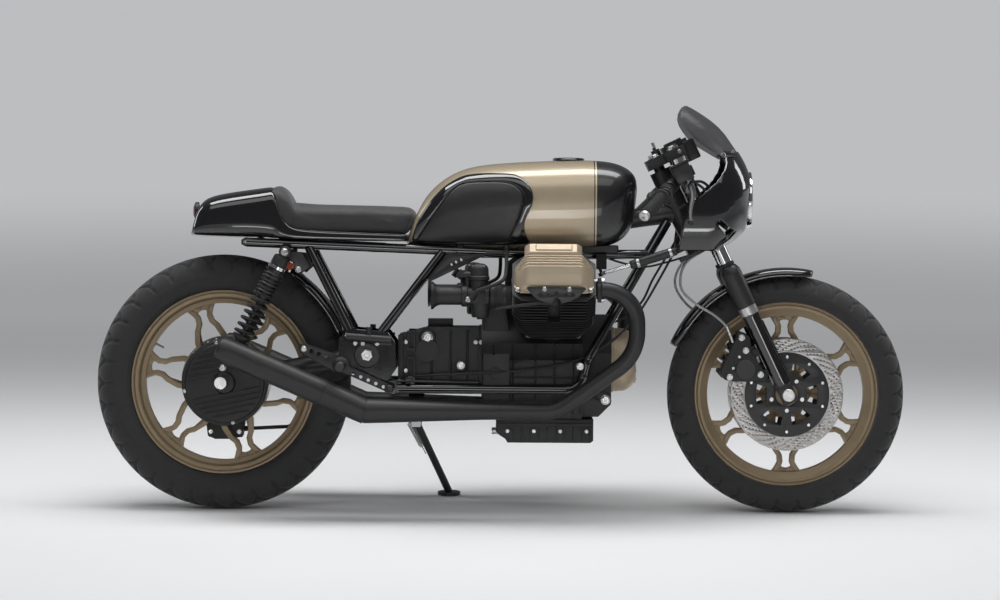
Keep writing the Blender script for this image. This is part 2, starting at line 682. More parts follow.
COWL = [(-834, 734, 788, 58, 8, 3, 4), (-830, 730, 805, 78, 9, 3, 4.5), (-820, 728.5, 820, 92, 9, 3, 5),
        (-802, 727.5, 832, 100, 6, 3, 5), (-770, 726.5, 841, 106, 2, 3, 5),
        (-720, 725, 849, 110, 0, 3.2, 5), (-670, 723.5, 856, 113, 0, 3.4, 5),
        (-634, 722.5, 861, 115, 0, 3.6, 5.5), (-620, 722, 862, 115.5, 0, 4, 6),
        (-615, 722, 851, 115.7, 0, 5, 6), (-609, 722, 829, 115.8, 0, 6, 6),
        (-603, 721.8, 808, 116, 0, 6.5, 6.5), (-594, 721.5, 787, 116, 0, 7, 7),
        (-582, 721.2, 767, 116, 0, 7, 7), (-568, 721, 755, 116, 0, 7, 7),
        (-545, 720.6, 748.5, 116, 0, 7, 7), (-500, 720, 744.5, 116, 0, 7, 7),
        (-420, 719, 741.5, 116, 0, 7, 7), (-330, 718, 738.5, 115, 0, 7, 7),
        (-268, 717.3, 736.5, 113, 0, 7, 7), (-260, 718, 735, 110, 0, 7, 7)]
cowl = skin([body_ring(x, lo, hi, w, top, low, 48, t) for x, lo, hi, w, t, top, low in COWL])
edge_line = []
for x, lo, hi, w, t, top, low in COWL[8:]:
    corner = 0.5 ** (1 / top)
    edge_line.append((x + t * corner, -w * corner, (lo + hi) / 2 + corner * (hi - lo) / 2))
beading = both(tube(flowing(edge_line, 4), 1.7, 10))
saddle = both(cutout([[(-668, 724), (-258, 720), (-258, 684), (-420, 692), (-668, 706)]], -99, -84, 2))
piece("tail_cowl_shell", "chassis", [(cowl, GLOSS), (beading, GLOSS), (saddle, SATIN)], ["tail_cowl"],
      subdiv=1, sharp=70)
lamp = [(lathe([(-6, 24), (2, 24), (4, 22.5), (5, 20)], (-829, 0, 796), (-1, 0, 0), 40), SATIN),
        (lathe([(0, 21), (6, 19), (9, 12), (10, 0.01)], (-829, 0, 796), (-1, 0, 0), 40), RED)]
piece("tail_lamp", "chassis", lamp)

# %% Seat leather
LEATHER = finish("seat_leather", (0.021, 0.021, 0.0225), rough=0.62, spread=0.08, shade=0.8, slow=18,
                 bump=0.3, fine=420, sheen=0.25)
leather_nodes, leather_links = LEATHER.node_tree.nodes, LEATHER.node_tree.links
grain = leather_nodes.new("ShaderNodeTexVoronoi")
grain.feature = "DISTANCE_TO_EDGE"
grain.inputs["Scale"].default_value = 520
leather_links.new(leather_nodes["Mapping"].outputs["Vector"], grain.inputs["Vector"])
grain_bump = leather_nodes.new("ShaderNodeBump")
grain_bump.inputs["Strength"].default_value = 0.45
grain_bump.inputs["Distance"].default_value = 0.0006
leather_links.new(grain.outputs["Distance"], grain_bump.inputs["Height"])
leather_links.new(leather_nodes["Bump"].outputs["Normal"], grain_bump.inputs["Normal"])
leather_links.new(grain_bump.outputs["Normal"], leather_nodes["Principled BSDF"].inputs["Normal"])
THREAD = finish("seat_thread", (0.05, 0.05, 0.05), rough=0.6, bump=0.3, fine=2000)


# %% Stuffed pads
def evaluated_mesh(thing):
    bpy.context.view_layer.update()
    return bpy.data.meshes.new_from_object(thing.evaluated_get(bpy.context.evaluated_depsgraph_get()))


def stuffed(thing, most_mm):
    even = thing.modifiers.new("even", "REMESH")
    even.mode = "VOXEL"
    even.voxel_size = 0.005
    mesh = evaluated_mesh(thing)
    thing.modifiers.clear()
    look = thing.data.materials[0]
    thing.data = mesh
    if not mesh.materials:
        mesh.materials.append(look)
    start = [v.co.copy() for v in mesh.vertices]
    cloth = thing.modifiers.new("blown", "CLOTH")
    cloth.settings.use_pressure = True
    cloth.settings.uniform_pressure_force = 4.0
    cloth.settings.effector_weights.gravity = 0
    cloth.settings.quality = 5
    cloth.settings.tension_stiffness = 20
    cloth.settings.compression_stiffness = 20
    cloth.settings.bending_stiffness = 2
    for f in range(1, 21):
        bpy.context.scene.frame_set(f)
    blown = evaluated_mesh(thing)
    moves = [v.co - s for v, s in zip(blown.vertices, start)]
    thing.modifiers.clear()
    bpy.context.scene.frame_set(1)
    for v, s, move in zip(mesh.vertices, start, moves):
        v.co = s + (move if move.length < most_mm / 1000 else move.normalized() * most_mm / 1000)
    bpy.data.meshes.remove(blown)
    print(thing.name, "moved up to", round(1000 * max(m.length for m in moves), 1), "mm before the cap")
    mesh.polygons.foreach_set("use_smooth", [True] * len(mesh.polygons))
    soft = thing.modifiers.new("soft", "SUBSURF")
    soft.levels = soft.render_levels = 1
    easing = thing.modifiers.new("easing", "SMOOTH")
    easing.factor = 0.5
    easing.iterations = 6
    return thing


SEAT = [(-247, 744, 786, 80, 12), (-250, 740, 799, 92, 12), (-258, 738, 804, 98, 11),
        (-278, 737, 807, 102, 7), (-330, 737, 809, 104.5, 0), (-420, 737, 810.5, 106, 0),
        (-500, 737, 812, 107, 0), (-548, 737, 815, 107, 0), (-574, 739, 820, 106, 0)]
pad = skin([body_ring(x, lo, hi, w, 3.8, 7, tilt=t) for x, lo, hi, w, t in SEAT])
seat = stuffed(piece("seat_cushion", "chassis", [(pad, LEATHER)], ["seat_pad"]), 4)
HUMP = [(-628, 742, 857, 103, 0), (-618, 742, 863, 106, 0), (-606, 742, 864, 107, 0),
        (-594, 742, 860, 107, 0), (-583, 743, 851, 107, 0), (-574, 744, 838, 106.5, 0),
        (-567, 748, 824, 105, 0), (-562, 754, 811, 102, 0)]
hump = skin([body_ring(x, lo, hi, w, 3.4, 7, tilt=t) for x, lo, hi, w, t in HUMP])
stuffed(piece("seat_bump_stop", "chassis", [(hump, LEATHER)]), 4)

# %% Stitches along the foot of the hump
seat_surface = BVHTree.FromPolygons([v.co.copy() for v in seat.data.vertices],
                                    [tuple(p.vertices) for p in seat.data.polygons])
fall = (PARK.to_3x3() @ Vector((0, 0, -1))).normalized()


def on_seat(x, y):
    spot_on = seat_surface.ray_cast(PARK @ Vector((x, y, 900)), fall)[0]
    return PARK.inverted() @ spot_on if spot_on else Vector((x, y, 800))


stitches = [tube([on_seat(-540, -96 + 4 * k), on_seat(-540, -93.4 + 4 * k)], 0.6, 6) for k in range(48)]
piece("seat_stitching", "chassis", [(joined(*stitches), THREAD)])

# %% [markdown]
# ## Fairing and screen
# The fairing is a bowl: seen from above, each level is a straight side that turns into half an
# ellipse round the nose. A table gives, for each height, the nose, the width and the rear edge.
# The screen continues it as a smoked sheet. The lamp hole and two vents are cut out afterwards.

# %% Fairing levels
LEVELS = [(700, 574, 146, 456), (712, 584, 151, 457), (731, 613, 157, 460), (755, 638, 161, 463),
          (780, 647, 163, 466), (798, 651, 164, 474), (817, 654, 164, 484), (838, 656, 163.5, 505),
          (862, 656.5, 162, 534), (880, 655, 159, 553), (899, 650, 153, 567), (915, 644.5, 145, 574),
          (930, 638, 135, 579), (945, 630, 124, 578), (962, 619.5, 109, 574)]
TURN_IN = 530
HALF_COLUMNS = 36
ROUNDNESS = 2 / 2.25


def level_at(z):
    for low, high in zip(LEVELS, LEVELS[1:]):
        if low[0] <= z <= high[0]:
            t = (z - low[0]) / (high[0] - low[0])
            return [a + t * (b - a) for a, b in zip(low, high)]
    return list(LEVELS[-1])


def fairing_row(z):
    _, nose, half_width, rear = level_at(z)
    line = []
    if rear < TURN_IN:
        line += [(rear + (TURN_IN - rear) * k / 10, -half_width) for k in range(10)]
    for k in range(61):
        a = math.pi / 2 * k / 60
        x = TURN_IN + (nose - TURN_IN) * math.sin(a) ** ROUNDNESS
        if x >= rear:
            line.append((x, -half_width * math.cos(a) ** ROUNDNESS))
    path = [Vector((x, y, z)) for x, y in line]
    lengths = [0]
    for a, b in zip(path, path[1:]):
        lengths.append(lengths[-1] + (b - a).length)
    half, j = [], 0
    for k in range(HALF_COLUMNS + 1):
        want = lengths[-1] * k / HALF_COLUMNS
        while j < len(path) - 2 and lengths[j + 1] < want:
            j += 1
        share = (want - lengths[j]) / max(lengths[j + 1] - lengths[j], 1e-9)
        half.append(path[j].lerp(path[j + 1], min(share, 1)))
    return half + [Vector((p.x, -p.y, p.z)) for p in reversed(half[:-1])]


def sheet_shape(rows):
    return skin(rows, closed=False, caps=False)


def finer_table(rows, pieces):
    result = []
    for low, high in zip(rows, rows[1:]):
        for k in range(pieces):
            t = k / pieces
            result.append(tuple(a + t * (b - a) for a, b in zip(low, high)))
    return result + [rows[-1]]


def cut_by(thing, shape):
    cutter = piece("cutter", "steering", [(shape, GLOSS)])
    hole = thing.modifiers.new("hole", "BOOLEAN")
    hole.operation = "DIFFERENCE"
    hole.solver = "EXACT"
    hole.object = cutter
    mesh = evaluated_mesh(thing)
    thing.modifiers.clear()
    thing.data = mesh
    bpy.data.objects.remove(cutter)


LOWEST, HIGHEST = 700, 962
levels = [LOWEST + (HIGHEST - LOWEST) * k / 44 for k in range(45)]
bowl_sheet = sheet_shape([fairing_row(z) for z in levels])
bowl = piece("fairing_bowl", "steering", [(bowl_sheet, GLOSS)], ["fairing"], sharp=60)
wall = bowl.modifiers.new("wall", "SOLIDIFY")
wall.thickness = 0.003
wall.offset = 1
bowl.data = evaluated_mesh(bowl)
bowl.modifiers.clear()
cut_by(bowl, lathe([(0, 76.5), (300, 76.5)], (560, 0, 835), AHEAD, 96))
slot_line = [(554, 772), (560, 781), (568, 780), (608, 747), (614, 736), (611, 728), (602, 726), (590, 731)]
cut_by(bowl, both(cutout([slot_line], -190, -130, 0.5)))
bowl.data.polygons.foreach_set("use_smooth", [True] * len(bowl.data.polygons))

# %% Smoked screen
SMOKED = finish("smoked_screen", (0.05, 0.049, 0.054), rough=0.34, spread=0.0, bump=0.0, shade=0.98, glow=0.5)
smoked_shader = SMOKED.node_tree.nodes["Principled BSDF"]
smoked_shader.inputs["Alpha"].default_value = 0.84
SCREEN = [(952, 625, 115, 577), (962, 619, 109, 560), (990, 600, 108, 517), (1010, 586, 107, 494),
          (1030, 568, 104, 478), (1046, 549, 99, 467), (1060, 529, 91, 462), (1072, 510, 79, 463),
          (1080, 496, 66, 467), (1086, 483, 48, 472)]


def screen_row(nose_z, nose, half_width, rear):
    rear_z = nose_z - (nose - rear) * 0.12
    row = []
    for k in range(49):
        a = -math.pi / 2 + math.pi * k / 48
        reach = math.cos(a) ** 1.05 if abs(a) < math.pi / 2 else 0
        row.append((rear + (nose - rear) * reach, half_width * math.sin(a),
                    rear_z + (nose_z - rear_z) * reach))
    return row


screen_rows = [screen_row(*row) for row in finer_table(SCREEN, 4)]
screen = piece("wind_screen", "steering", [(sheet_shape(screen_rows), SMOKED)], ["windscreen"],
               sharp=70)
screen.data.polygons.foreach_set("use_smooth", [True] * len(screen.data.polygons))
screws = []
for side in (-1, 1):
    for x, y, z in ((604, 74, 964), (575, 106, 955)):
        screws.append(bolt((x, side * y, z), (0.4, side * 0.8, 0.3), 7, 4))
piece("screen_screws", "steering", [(joined(*screws), STEEL)])

# %% Headlamp
GLASS = finish("lamp_glass", (0.70, 0.71, 0.73), rough=0.03, spread=0.01, bump=0.0)
GLASS.node_tree.nodes["Principled BSDF"].inputs["Transmission Weight"].default_value = 0.9
lamp_at = (584, 0, 835)
bowl_profile = [(0, 30), (4, 52), (20, 64), (50, 73), (58, 75.6), (68, 76), (72, 74.5), (73, 71), (71, 68),
                (66, 67), (40, 58), (20, 42), (12, 20), (10, 0.01)]
lens = [(65, 67.5), (70, 66), (74, 54), (76.5, 36), (77.5, 0.01), (75, 0.01), (72, 50), (67, 63), (64, 66)]
lamp_parts = [(lathe(bowl_profile, lamp_at, AHEAD, 72), CHROME), (lathe(lens, lamp_at, AHEAD, 72), GLASS),
              (lathe([(10, 8), (34, 8), (40, 5), (42, 0.01)], lamp_at, AHEAD, 24), GLASS)]
piece("headlamp_unit", "steering", lamp_parts, ["headlamp"])
ears = [bar((0, side * FORK_HALF, 545), (0, side * FORK_HALF, 575), 25) for side in (-1, 1)]
ears += [block((14, -88, 552), (84, -76, 568)), block((14, 76, 552), (84, 88, 568))]
ears += [bar((0, side * 110, 560), (0, side * 158, 560), 8) for side in (-1, 1)]
piece("headlamp_ears", "steering", [(joined(*ears), SATIN)], matrix=FORK, bevel=1.5)

# %% [markdown]
# ## Mudguards
# A mudguard is one curved strip: a shallow channel section swept about the wheel's axle,
# narrowing to a point at its tips, with a thin flange on each edge.


# %% Guard strips
TIP_ANGLE = 10
GUARD_SECTION = [(-1, -21), (-1.03, -19), (-1.0, -12), (-0.95, -6), (-0.82, -1.5), (-0.6, 1), (-0.3, 2.4),
                 (0, 3), (0.3, 2.4), (0.6, 1), (0.82, -1.5), (0.95, -6), (1.0, -12), (1.03, -19), (1, -21)]


def guard(centre, inner, half_width, first, last):
    rows = []
    for i in range(65):
        share = i / 64
        a = math.radians(first + (last - first) * share)
        out = Vector((math.cos(a), 0, math.sin(a)))
        tip = min(share, 1 - share) * (last - first)
        narrow = 0.62 + 0.38 * math.sqrt(max(0, min(1, tip / TIP_ANGLE)))
        row = []
        for y, r in GUARD_SECTION:
            drop = r if r > 0 else r * narrow
            row.append(centre + out * (inner + drop) + Vector((0, y * half_width * narrow, 0)))
        rows.append(row)
    return sheet_shape(rows)


for name, body, node, shape in (
        ("front_guard", "steering", "front_mudguard", guard(FRONT, 335, 52, 78, 157)),
        ("rear_guard", "chassis", "rear_mudguard", guard(REAR, 353, 60, 14, 59))):
    strip = piece(name, body, [(shape, GLOSS)], [node], sharp=60)
    skin_wall = strip.modifiers.new("wall", "SOLIDIFY")
    skin_wall.thickness = 0.0022
    skin_wall.offset = 0
brackets = [block((-10, side * 53 - 3, 300), (10, side * 60 + 3, 336)) for side in (-1, 1)]
bridge = rounded([(-6, -62, 318), (-6, -50, 352), (-6, 50, 352), (-6, 62, 318)], 14)
piece("front_guard_stays", "steering", [(joined(*brackets), SATIN), (tube(bridge, 5, 12), SATIN)],
      matrix=FORK, bevel=1.2)
piece("rear_guard_stay", "chassis", [(block((-571, -18, 648), (-559, 18, 697)), SATIN)], bevel=1.5)

# %% [markdown]
# ## Exhausts
# Each side is one smooth bent pipe that widens into a collector, a mitred elbow and a silencer
# turned from a profile with an open end. Small beads stand for the welds.


# %% Pipes and silencers
def weld(at, axis, radius):
    return lathe([(-2, radius), (-1, radius + 1.1), (1, radius + 1.1), (2, radius)], at, axis, 48)


PORT = Vector((238.4, -219, 594))
PIPE_END = Vector((-12, -195, 273))
COLLECTOR = Vector((-370, -198, 273))
ELBOW = Vector((-479, -201, 320))
TIP = Vector((-755, -208, 439))
bend = rounded([PORT, (346, -217, 594), (346, -212, 424), (138, -195.5, 273.5), PIPE_END], [88, 118, 95], 4)
pipe = tube(bend, 21.5, 36)
long_cone = lathe([(0, 21.5), (60, 22.4), (200, 27.5), (300, 31.5), (358, 33)], PIPE_END,
                  COLLECTOR - PIPE_END, 48)
elbow = tube([COLLECTOR + Vector((10, 0, 0)), COLLECTOR, ELBOW, ELBOW + (TIP - ELBOW) * 0.02],
             [33, 33.6, 34.4, 35], 48)
length = (TIP - ELBOW).length
silencer = lathe([(0, 34.4), (3, 35), (length * 0.5, 34.6), (length - 26, 33), (length - 12, 32.2),
                  (length - 5, 30.2), (length - 1, 26.5), (length, 23.5), (length - 3, 22),
                  (length - 62, 22), (length - 62, 0.01)],
                 ELBOW, TIP - ELBOW, 56)
flange = cutout([[(-32, -14), (-14, -22), (14, -22), (32, -14), (32, 14), (14, 22), (-14, 22), (-32, 14)],
                 disc_outline(0, 0, 19, 24)], -5, 5, 1.2)
quarter = math.radians(90)
flat_on_port = Matrix.Rotation(quarter, 4, "Z") @ Matrix.Rotation(quarter, 4, "Y")
flange = moved(flange, Matrix.Translation(PORT + Vector((8, 0, 0))) @ flat_on_port)
collar = lathe([(0, 25), (2, 26.5), (9, 26.5), (11, 24), (14, 22)], PORT + Vector(AHEAD), AHEAD, 36)
welds = joined(weld(PIPE_END, AHEAD, 21.6), weld(COLLECTOR, (-1, 0, 0.25), 33.4),
               weld(ELBOW, TIP - ELBOW, 34.2))
studs = [bar(PORT + Vector((-6, 0, side * 25)), PORT + Vector((22, 0, side * 25)), 3.2) for side in (-1, 1)]
nuts = [bolt(PORT + Vector((13, 0, side * 25)), AHEAD, 11, 8) for side in (-1, 1)]
exhaust_parts = [(both(joined(pipe, long_cone, elbow, silencer, welds), STAGGER), EXHAUST),
                 (both(joined(flange, collar), STAGGER), CAST),
                 (both(joined(*studs, *nuts), STAGGER), CHROME)]
piece("exhaust_system", "chassis", exhaust_parts, ["exhausts"], sharp=28)

# %% [markdown]
# ## Cylinders
# Every fin is a flat octagon. The barrel fins are thin and close together, the head fins are
# thicker, and they part in the middle to leave room for the spark plug.


# %% Fins
BANK = Matrix.Translation((127, 0, 405)) @ Matrix.Rotation(math.radians(45), 4, "X")
LAY = Matrix.Rotation(math.radians(90), 4, "X")


def octagon(hx, hy, cut, notch=0):
    low_edge = [(-hx, hy - cut), (-hx + cut, hy)]
    if notch:
        low_edge += [(-16, hy), (-16, hy - notch), (16, hy - notch), (16, hy)]
    return low_edge + [(hx - cut, hy), (hx, hy - cut), (hx, -hy + cut), (hx - cut, -hy), (-hx + cut, -hy),
                       (-hx, -hy + cut)]


def slab(outlines, low, high, edge=0.8):
    return moved(cutout(outlines, low, high, edge), LAY)


def both_banks(shape):
    return both(moved(shape, BANK), STAGGER)


fins = [lathe([(140.4, 60), (142, 64), (152, 64), (153, 57), (316, 57)], (0, 0, 0), UP, 48)]
for k in range(10):
    grow = min(1, 0.84 + 0.03 * k)
    fins.append(slab([octagon(106 * grow, 78 * grow, 26)], 150 + 8 * k, 152 + 8 * k, 0.6))
for k in range(8):
    fins.append(slab([octagon(109.5, 80, 24, 36)], 231 + 10.6 * k, 234 + 10.6 * k, 0.9))
fins.append(block((-70, -40, 228), (70, 62, 314)))
fins += [block((low, -30, 228), (low + 40, 30, 314)) for low in (-100, 60)]
fins.append(bar((40, 0, 275), (111, 0, 275), 24))
fins.append(bar((-40, 0, 275), (-112, 0, 275), 26))
deck_nuts = [bolt((x, y, 152), UP, 13, 10) for x in (-66, 66) for y in (-56, 56)]
piece("cylinder_fins", "chassis",
      [(both_banks(joined(*fins)), CAST), (both_banks(joined(*deck_nuts)), STEEL)], ["cylinders"],
      sharp=35)

# %% Rocker covers
COVER_FOOT = 318.4
COVER = [(62, COVER_FOOT), (62, 334), (50, 357), (28, 374), (18, 379), (-14, 379), (-22, 377), (-56, 346),
         (-61, 336), (-62, 326), (-62, COVER_FOOT)]
HALF_STATIONS = [(104, 0.16, 0.34, 0.60), (102, 0.34, 0.36, 0.68), (99, 0.44, 0.40, 0.76),
                 (95, 0.52, 0.46, 0.84), (90, 0.62, 0.54, 0.92), (84, 0.76, 0.66, 0.98),
                 (79, 0.86, 0.76, 1), (74, 0.94, 0.86, 1), (69, 0.98, 0.95, 1), (62, 1, 1, 1)]
STATIONS = [(-x, f, up_w, low_w) for x, f, up_w, low_w in HALF_STATIONS]
STATIONS += [(x, f, up_w, low_w) for x, f, up_w, low_w in reversed(HALF_STATIONS)]


def cover_height(x):
    for (x0, f0, _, _), (x1, f1, _, _) in zip(STATIONS, STATIONS[1:]):
        if x0 <= x <= x1:
            return f0 + (f1 - f0) * (x - x0) / (x1 - x0)
    return 0.16


cover_rings = [[(x, y * (up_w if y > 0 else low_w), COVER_FOOT + (z - COVER_FOOT) * f) for y, z in COVER]
               for x, f, up_w, low_w in STATIONS]
ribs = []
for y in (-13, -4, 5, 14):
    edge_x = 94 - 0.6 * (y + 13)
    ribs.append(tube([(x, y * (1 if abs(x) < 76 else 0.9), COVER_FOOT + 61.2 * cover_height(x))
                      for x in [edge_x * k / 20 for k in range(-20, 21)]], 2.7, 10))
lip_line = [(-104, 46), (-88, 64), (88, 64), (104, 46), (104, -8), (72, -62), (-72, -62), (-104, -8)]
lip = slab([lip_line], COVER_FOOT, 323.5, 1.4)
badge_base = skin([[(-78, 18, 366), (73, 18, 366), (73, 60, 366), (-78, 60, 366)],
                   [(-72, 21, 376), (67, 21, 376), (67, 58, 376), (-72, 58, 376)],
                   [(-64, 26, 383), (59, 26, 383), (59, 55, 383), (-64, 55, 383)]])
badge_pad = skin([[(-50, 30, 382), (48, 30, 382), (48, 52, 382), (-50, 52, 382)],
                  [(-47, 32, 386), (45, 32, 386), (45, 50, 386), (-47, 50, 386)]])
cover_body = skin(cover_rings)
cover_bolts = joined(*[bolt((x, -58, 323), UP, 9, 9) for x in (-95, 95)])
piece("rocker_lids", "chassis", [(both_banks(joined(cover_body, lip, badge_base, badge_pad)), GOLD_CAST),
                                 (both_banks(joined(*ribs)), GOLD_CAST), (both_banks(cover_bolts), STEEL)],
      ["rocker_covers"], bevel=1.6, sharp=26)

# %% Plug guards and leads
crescent = [(54, 599), (58, 603), (205, 603), (210, 598), (190, 577), (166, 565), (145, 560), (142, 568),
            (136, 575), (130, 575), (124, 568), (121, 560), (100, 564), (84, 570), (70, 581)]
hole_spots = ((90.6, 583), (111.7, 583), (133, 587), (155.7, 583), (175.6, 583))
holes = [disc_outline(x, z, 4.8, 14) for x, z in hole_spots]
guard_plate = cutout([crescent] + holes, -299, -296, 0.4)
guard_back = joined(*[bar((x, -297.5, z), (x, -292, z), 6.2, sides=14) for x, z in hole_spots])
guard_screws = joined(*[bolt((x, -299, 597), RIGHTWARD, 9, 6) for x in (101.6, 165.8)])
plug_cap = tube(flowing([(129, -252, 560), (130, -276, 563), (124, -288, 563), (98, -290, 561)]), 6.6, 16)
lead = tube(flowing([(100, -290, 561), (60, -290, 557), (20, -284, 551), (-9, -268, 546), (-22, -240, 541),
                     (-20, -190, 540)]),
            4.2, 12)
piece("plug_guards", "chassis", [(both(guard_plate, STAGGER), SATIN), (both(guard_screws, STAGGER), STEEL),
                                 (both(joined(plug_cap, lead, guard_back), STAGGER), RUBBER)])

# %% [markdown]
# ## Engine covers
# The front cover is turned like a drum with radial ribs, and the crankcase, gearbox and sump get
# ribs, flanges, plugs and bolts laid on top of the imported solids.

# %% Front cover
DRUM_AT = (283.2, 0, 405)
drum_profile = [(0, 88), (7, 88), (9, 85), (34, 84), (44, 80), (58, 70), (64, 62), (66, 54), (66, 0.01)]
drum = lathe(drum_profile, DRUM_AT, AHEAD, 64)
radial = []
for k in range(12):
    rib_shape = block((52, 20, -2), (67.5, 62, 2))
    radial.append(moved(rib_shape,
                        Matrix.Translation(DRUM_AT) @ Matrix.Rotation(math.radians(30 * k), 4, "X")))
drum_bolts = [bolt((289, 81 * math.cos(a), 405 + 81 * math.sin(a)), AHEAD, 9, 6)
              for a in [math.radians(45 * k + 20) for k in range(8)]]
piece("alternator_drum", "chassis", [(joined(drum, *radial), GOLD_CAST), (joined(*drum_bolts), STEEL)],
      ["alternator_cover"], bevel=1.2, sharp=30)

# %% Crankcase and gearbox detail
cases = []
for x in (-30, 22, 81, 131, 181, 200):
    cases.append(tube([(x, -97, 262), (x, -103, 345), (x, -103, 404), (x, -148, 446)], 2.6, 8))
cases.append(tube(flowing([(24, -104, 398), (80, -104, 412), (131, -104, 416), (200, -104, 408)]), 2.6, 8))
cases.append(tube([(-58, -104, 360), (200, -104, 360)], 2.6, 8))
cases.append(tube([(24, -104, 420), (62, -133, 440)], 2.6, 8))
bell = [(-60, 300), (-60, 480), (-50, 540), (-36, 588), (-4, 588), (4, 540), (14, 480), (14, 300)]
cases.append(cutout([bell], -121, -94, 6))
cases.append(cutout([disc_outline(-26, 372, 16, 24)], -124, -118, 1.5))
for x in (-194, -144, -100):
    cases.append(tube([(x, -93, 348), (x, -95, 420), (x, -93, 484)], 3.2, 8))
cases.append(cutout([[(-70, 344), (-52, 344), (-52, 494), (-70, 494)]], -100, -90, 2))
cases.append(cutout([[(-284, 352), (-270, 352), (-270, 474), (-284, 470)]], -99, -88, 2))
for low in (362, 430):
    window = [(-260, low), (-238, low), (-238, low + 52), (-260, low + 52)]
    hollow = [(-255, low + 6), (-243, low + 6), (-243, low + 46), (-255, low + 46)]
    cases.append(cutout([window, hollow], -104, -90, 1))
cases.append(lathe([(0, 22), (8, 22), (11, 19)], (-206, -91, 464), RIGHTWARD, 32))
cases.append(lathe([(0, 17), (6, 17), (8, 15)], (-117, -91, 390), RIGHTWARD, 32))
cases.append(bar((-62, -98, 318), (-10, -98, 318), 9))
cases.append(bar((-62, -98, 450), (10, -98, 450), 8))
silver = [bolt((-206, -101, 464), RIGHTWARD, 22, 9), bolt((-117, -98, 390), RIGHTWARD, 16, 7)]
silver += [bolt((x, -101, z), RIGHTWARD, 9, 7)
           for x, z in ((-262, 376), (-262, 452), (-64, 452), (-64, 322), (-78, 452))]
silver += [bolt((268, side * 97, 301), (0, side, 0), 20, 12) for side in (-1, 1)]
silver += [bolt((199, side * 131, 391), (0, side, 0), 15, 9) for side in (-1, 1)]
silver += [bolt((x, side * 106, 217), (0, side, 0), 8, 5) for side in (-1, 1) for x in (8, 78, 148, 218)]
top_box = block((-206, -44, 488), (-140, 44, 512))
mount_arm = cutout([[(200, 300), (252, 280), (284, 296), (282, 316), (262, 322), (236, 340), (204, 420),
                     (196, 420)],
                    [(222, 312), (250, 300), (244, 318), (222, 352)]], -97, -86, 1.5)
sole = [block((-292, -78, 264), (-24, 78, 300))] + [block((x, -84, 262), (x + 4, 84, 300))
                                                    for x in range(-286, -30, 42)]
left_cases = mirrored(joined(*cases))
piece("case_detail", "chassis",
      [(joined(*cases, *sole, left_cases, top_box, both(mount_arm)), CAST), (joined(*silver), STEEL)],
      sharp=32)

# %% Sump
sump_outline = [(-23, 249), (-23, 216), (-14, 206), (2, 196), (8, 186), (228, 186), (236, 192), (236, 249)]
sump_body = [cutout([sump_outline], -103, 103, 3)]
sump_body += [cutout([[(-20, 232), (234, 232), (234, 238), (-20, 238)]], -108, 108, 1.5)]
sump_body += [cutout([[(x, 188), (x + 4, 188), (x + 4, 226), (x, 226)]], -104.8, 104.8, 0.8)
              for x in range(20, 230, 23)]
piece("sump_casting", "chassis",
      [(joined(*sump_body), CAST), (bar((-34, -40, 214), (-14, -40, 214), 9), STEEL)], ["sump_pan"],
      sharp=35)

# %% Carburettors
def at_carb(shape):
    return both(moved(shape, Matrix.Translation((0, -182, 577))), STAGGER)


bell_mouth = lathe([(0, 33.5), (-1.5, 36), (0.5, 37.2), (4, 36), (10, 30), (17, 26), (24, 24.5), (80, 24.5),
                    (80, 21), (24, 21), (12, 24), (4, 30)], (-194, 0, 0), AHEAD, 48, loop=True)
throat = lathe([(0, 20.9), (2, 20.9), (2, 0.01)], (-140, 0, 0), AHEAD, 32)
carb_body = [lathe([(0, 27), (3, 29), (16, 29), (18, 25), (60, 25), (62, 29), (72, 29), (74, 26)],
                   (-116, 0, 0), AHEAD, 40),
             lathe([(-20, 25), (40, 25), (42, 28), (50, 28), (52, 26), (72, 25), (78, 22), (84, 14),
                    (86, 0.01)],
                   (-70, 0, 0), UP, 40),
             lathe([(0, 20), (4, 23), (30, 24), (34, 26), (40, 26)], (-66, 0, -57), UP, 40),
             bar((-66, 0, -62), (-66, 0, -50), 9), bar((-118, -6, 55), (-70, -6, 55), 9),
             bar((-126, -6, 46), (-112, -6, 66), 8), bar((-100, -4, 20), (-100, -4, 62), 7),
             bar((-90, -30, -8), (-78, -26, 10), 9), block((-88, -27, -20), (-44, 27, 6))]
boot = lathe([(0, 26), (4, 28), (14, 28), (18, 26), (22, 28), (40, 29), (44, 27), (56, 25)], (-40, 0, 0),
             AHEAD, 40)
clamps = [lathe([(0, 29.2), (0, 30.4), (7, 30.4), (7, 29.2)], (x, 0, 0), AHEAD, 40, loop=True)
          for x in (-37, -6)]
small = [bolt((-98, -29, -10), RIGHTWARD, 11, 7)]
small += [bolt((-70 + 19 * math.cos(a), 19 * math.sin(a), 76), UP, 6, 4) for a in (0.6, 2.2, 3.8, 5.4)]
fuel_line = tube(flowing([(-92, -212, 566), (-74, -220, 590), (-30, -214, 606), (-4, -196, 622),
                          (2, -170, 650), (2, -140, 690)]),
                 5, 12)
tap = joined(bar((2, -118, 700), (2, -150, 688), 8), bar((-52, -130, 690), (10, -130, 690), 5),
             bar((2, -130, 708), (2, -130, 676), 7))
carb_parts = [(at_carb(joined(bell_mouth, throat, *carb_body)), CAST), (at_carb(boot), RUBBER),
              (at_carb(joined(*small)), STEEL), (at_carb(joined(*clamps)), CAST),
              (both(fuel_line, STAGGER), RUBBER), (both(tap, STAGGER), SATIN)]
piece("carburettor_pair", "chassis", carb_parts, ["carburettors"], sharp=32)

# %% [markdown]
# ## Rear end
# The shock absorbers carry real coil springs: close coils above and open ones below. The final
# drive cover is a ribbed drum, and the caliper hangs under the left side of the hub.


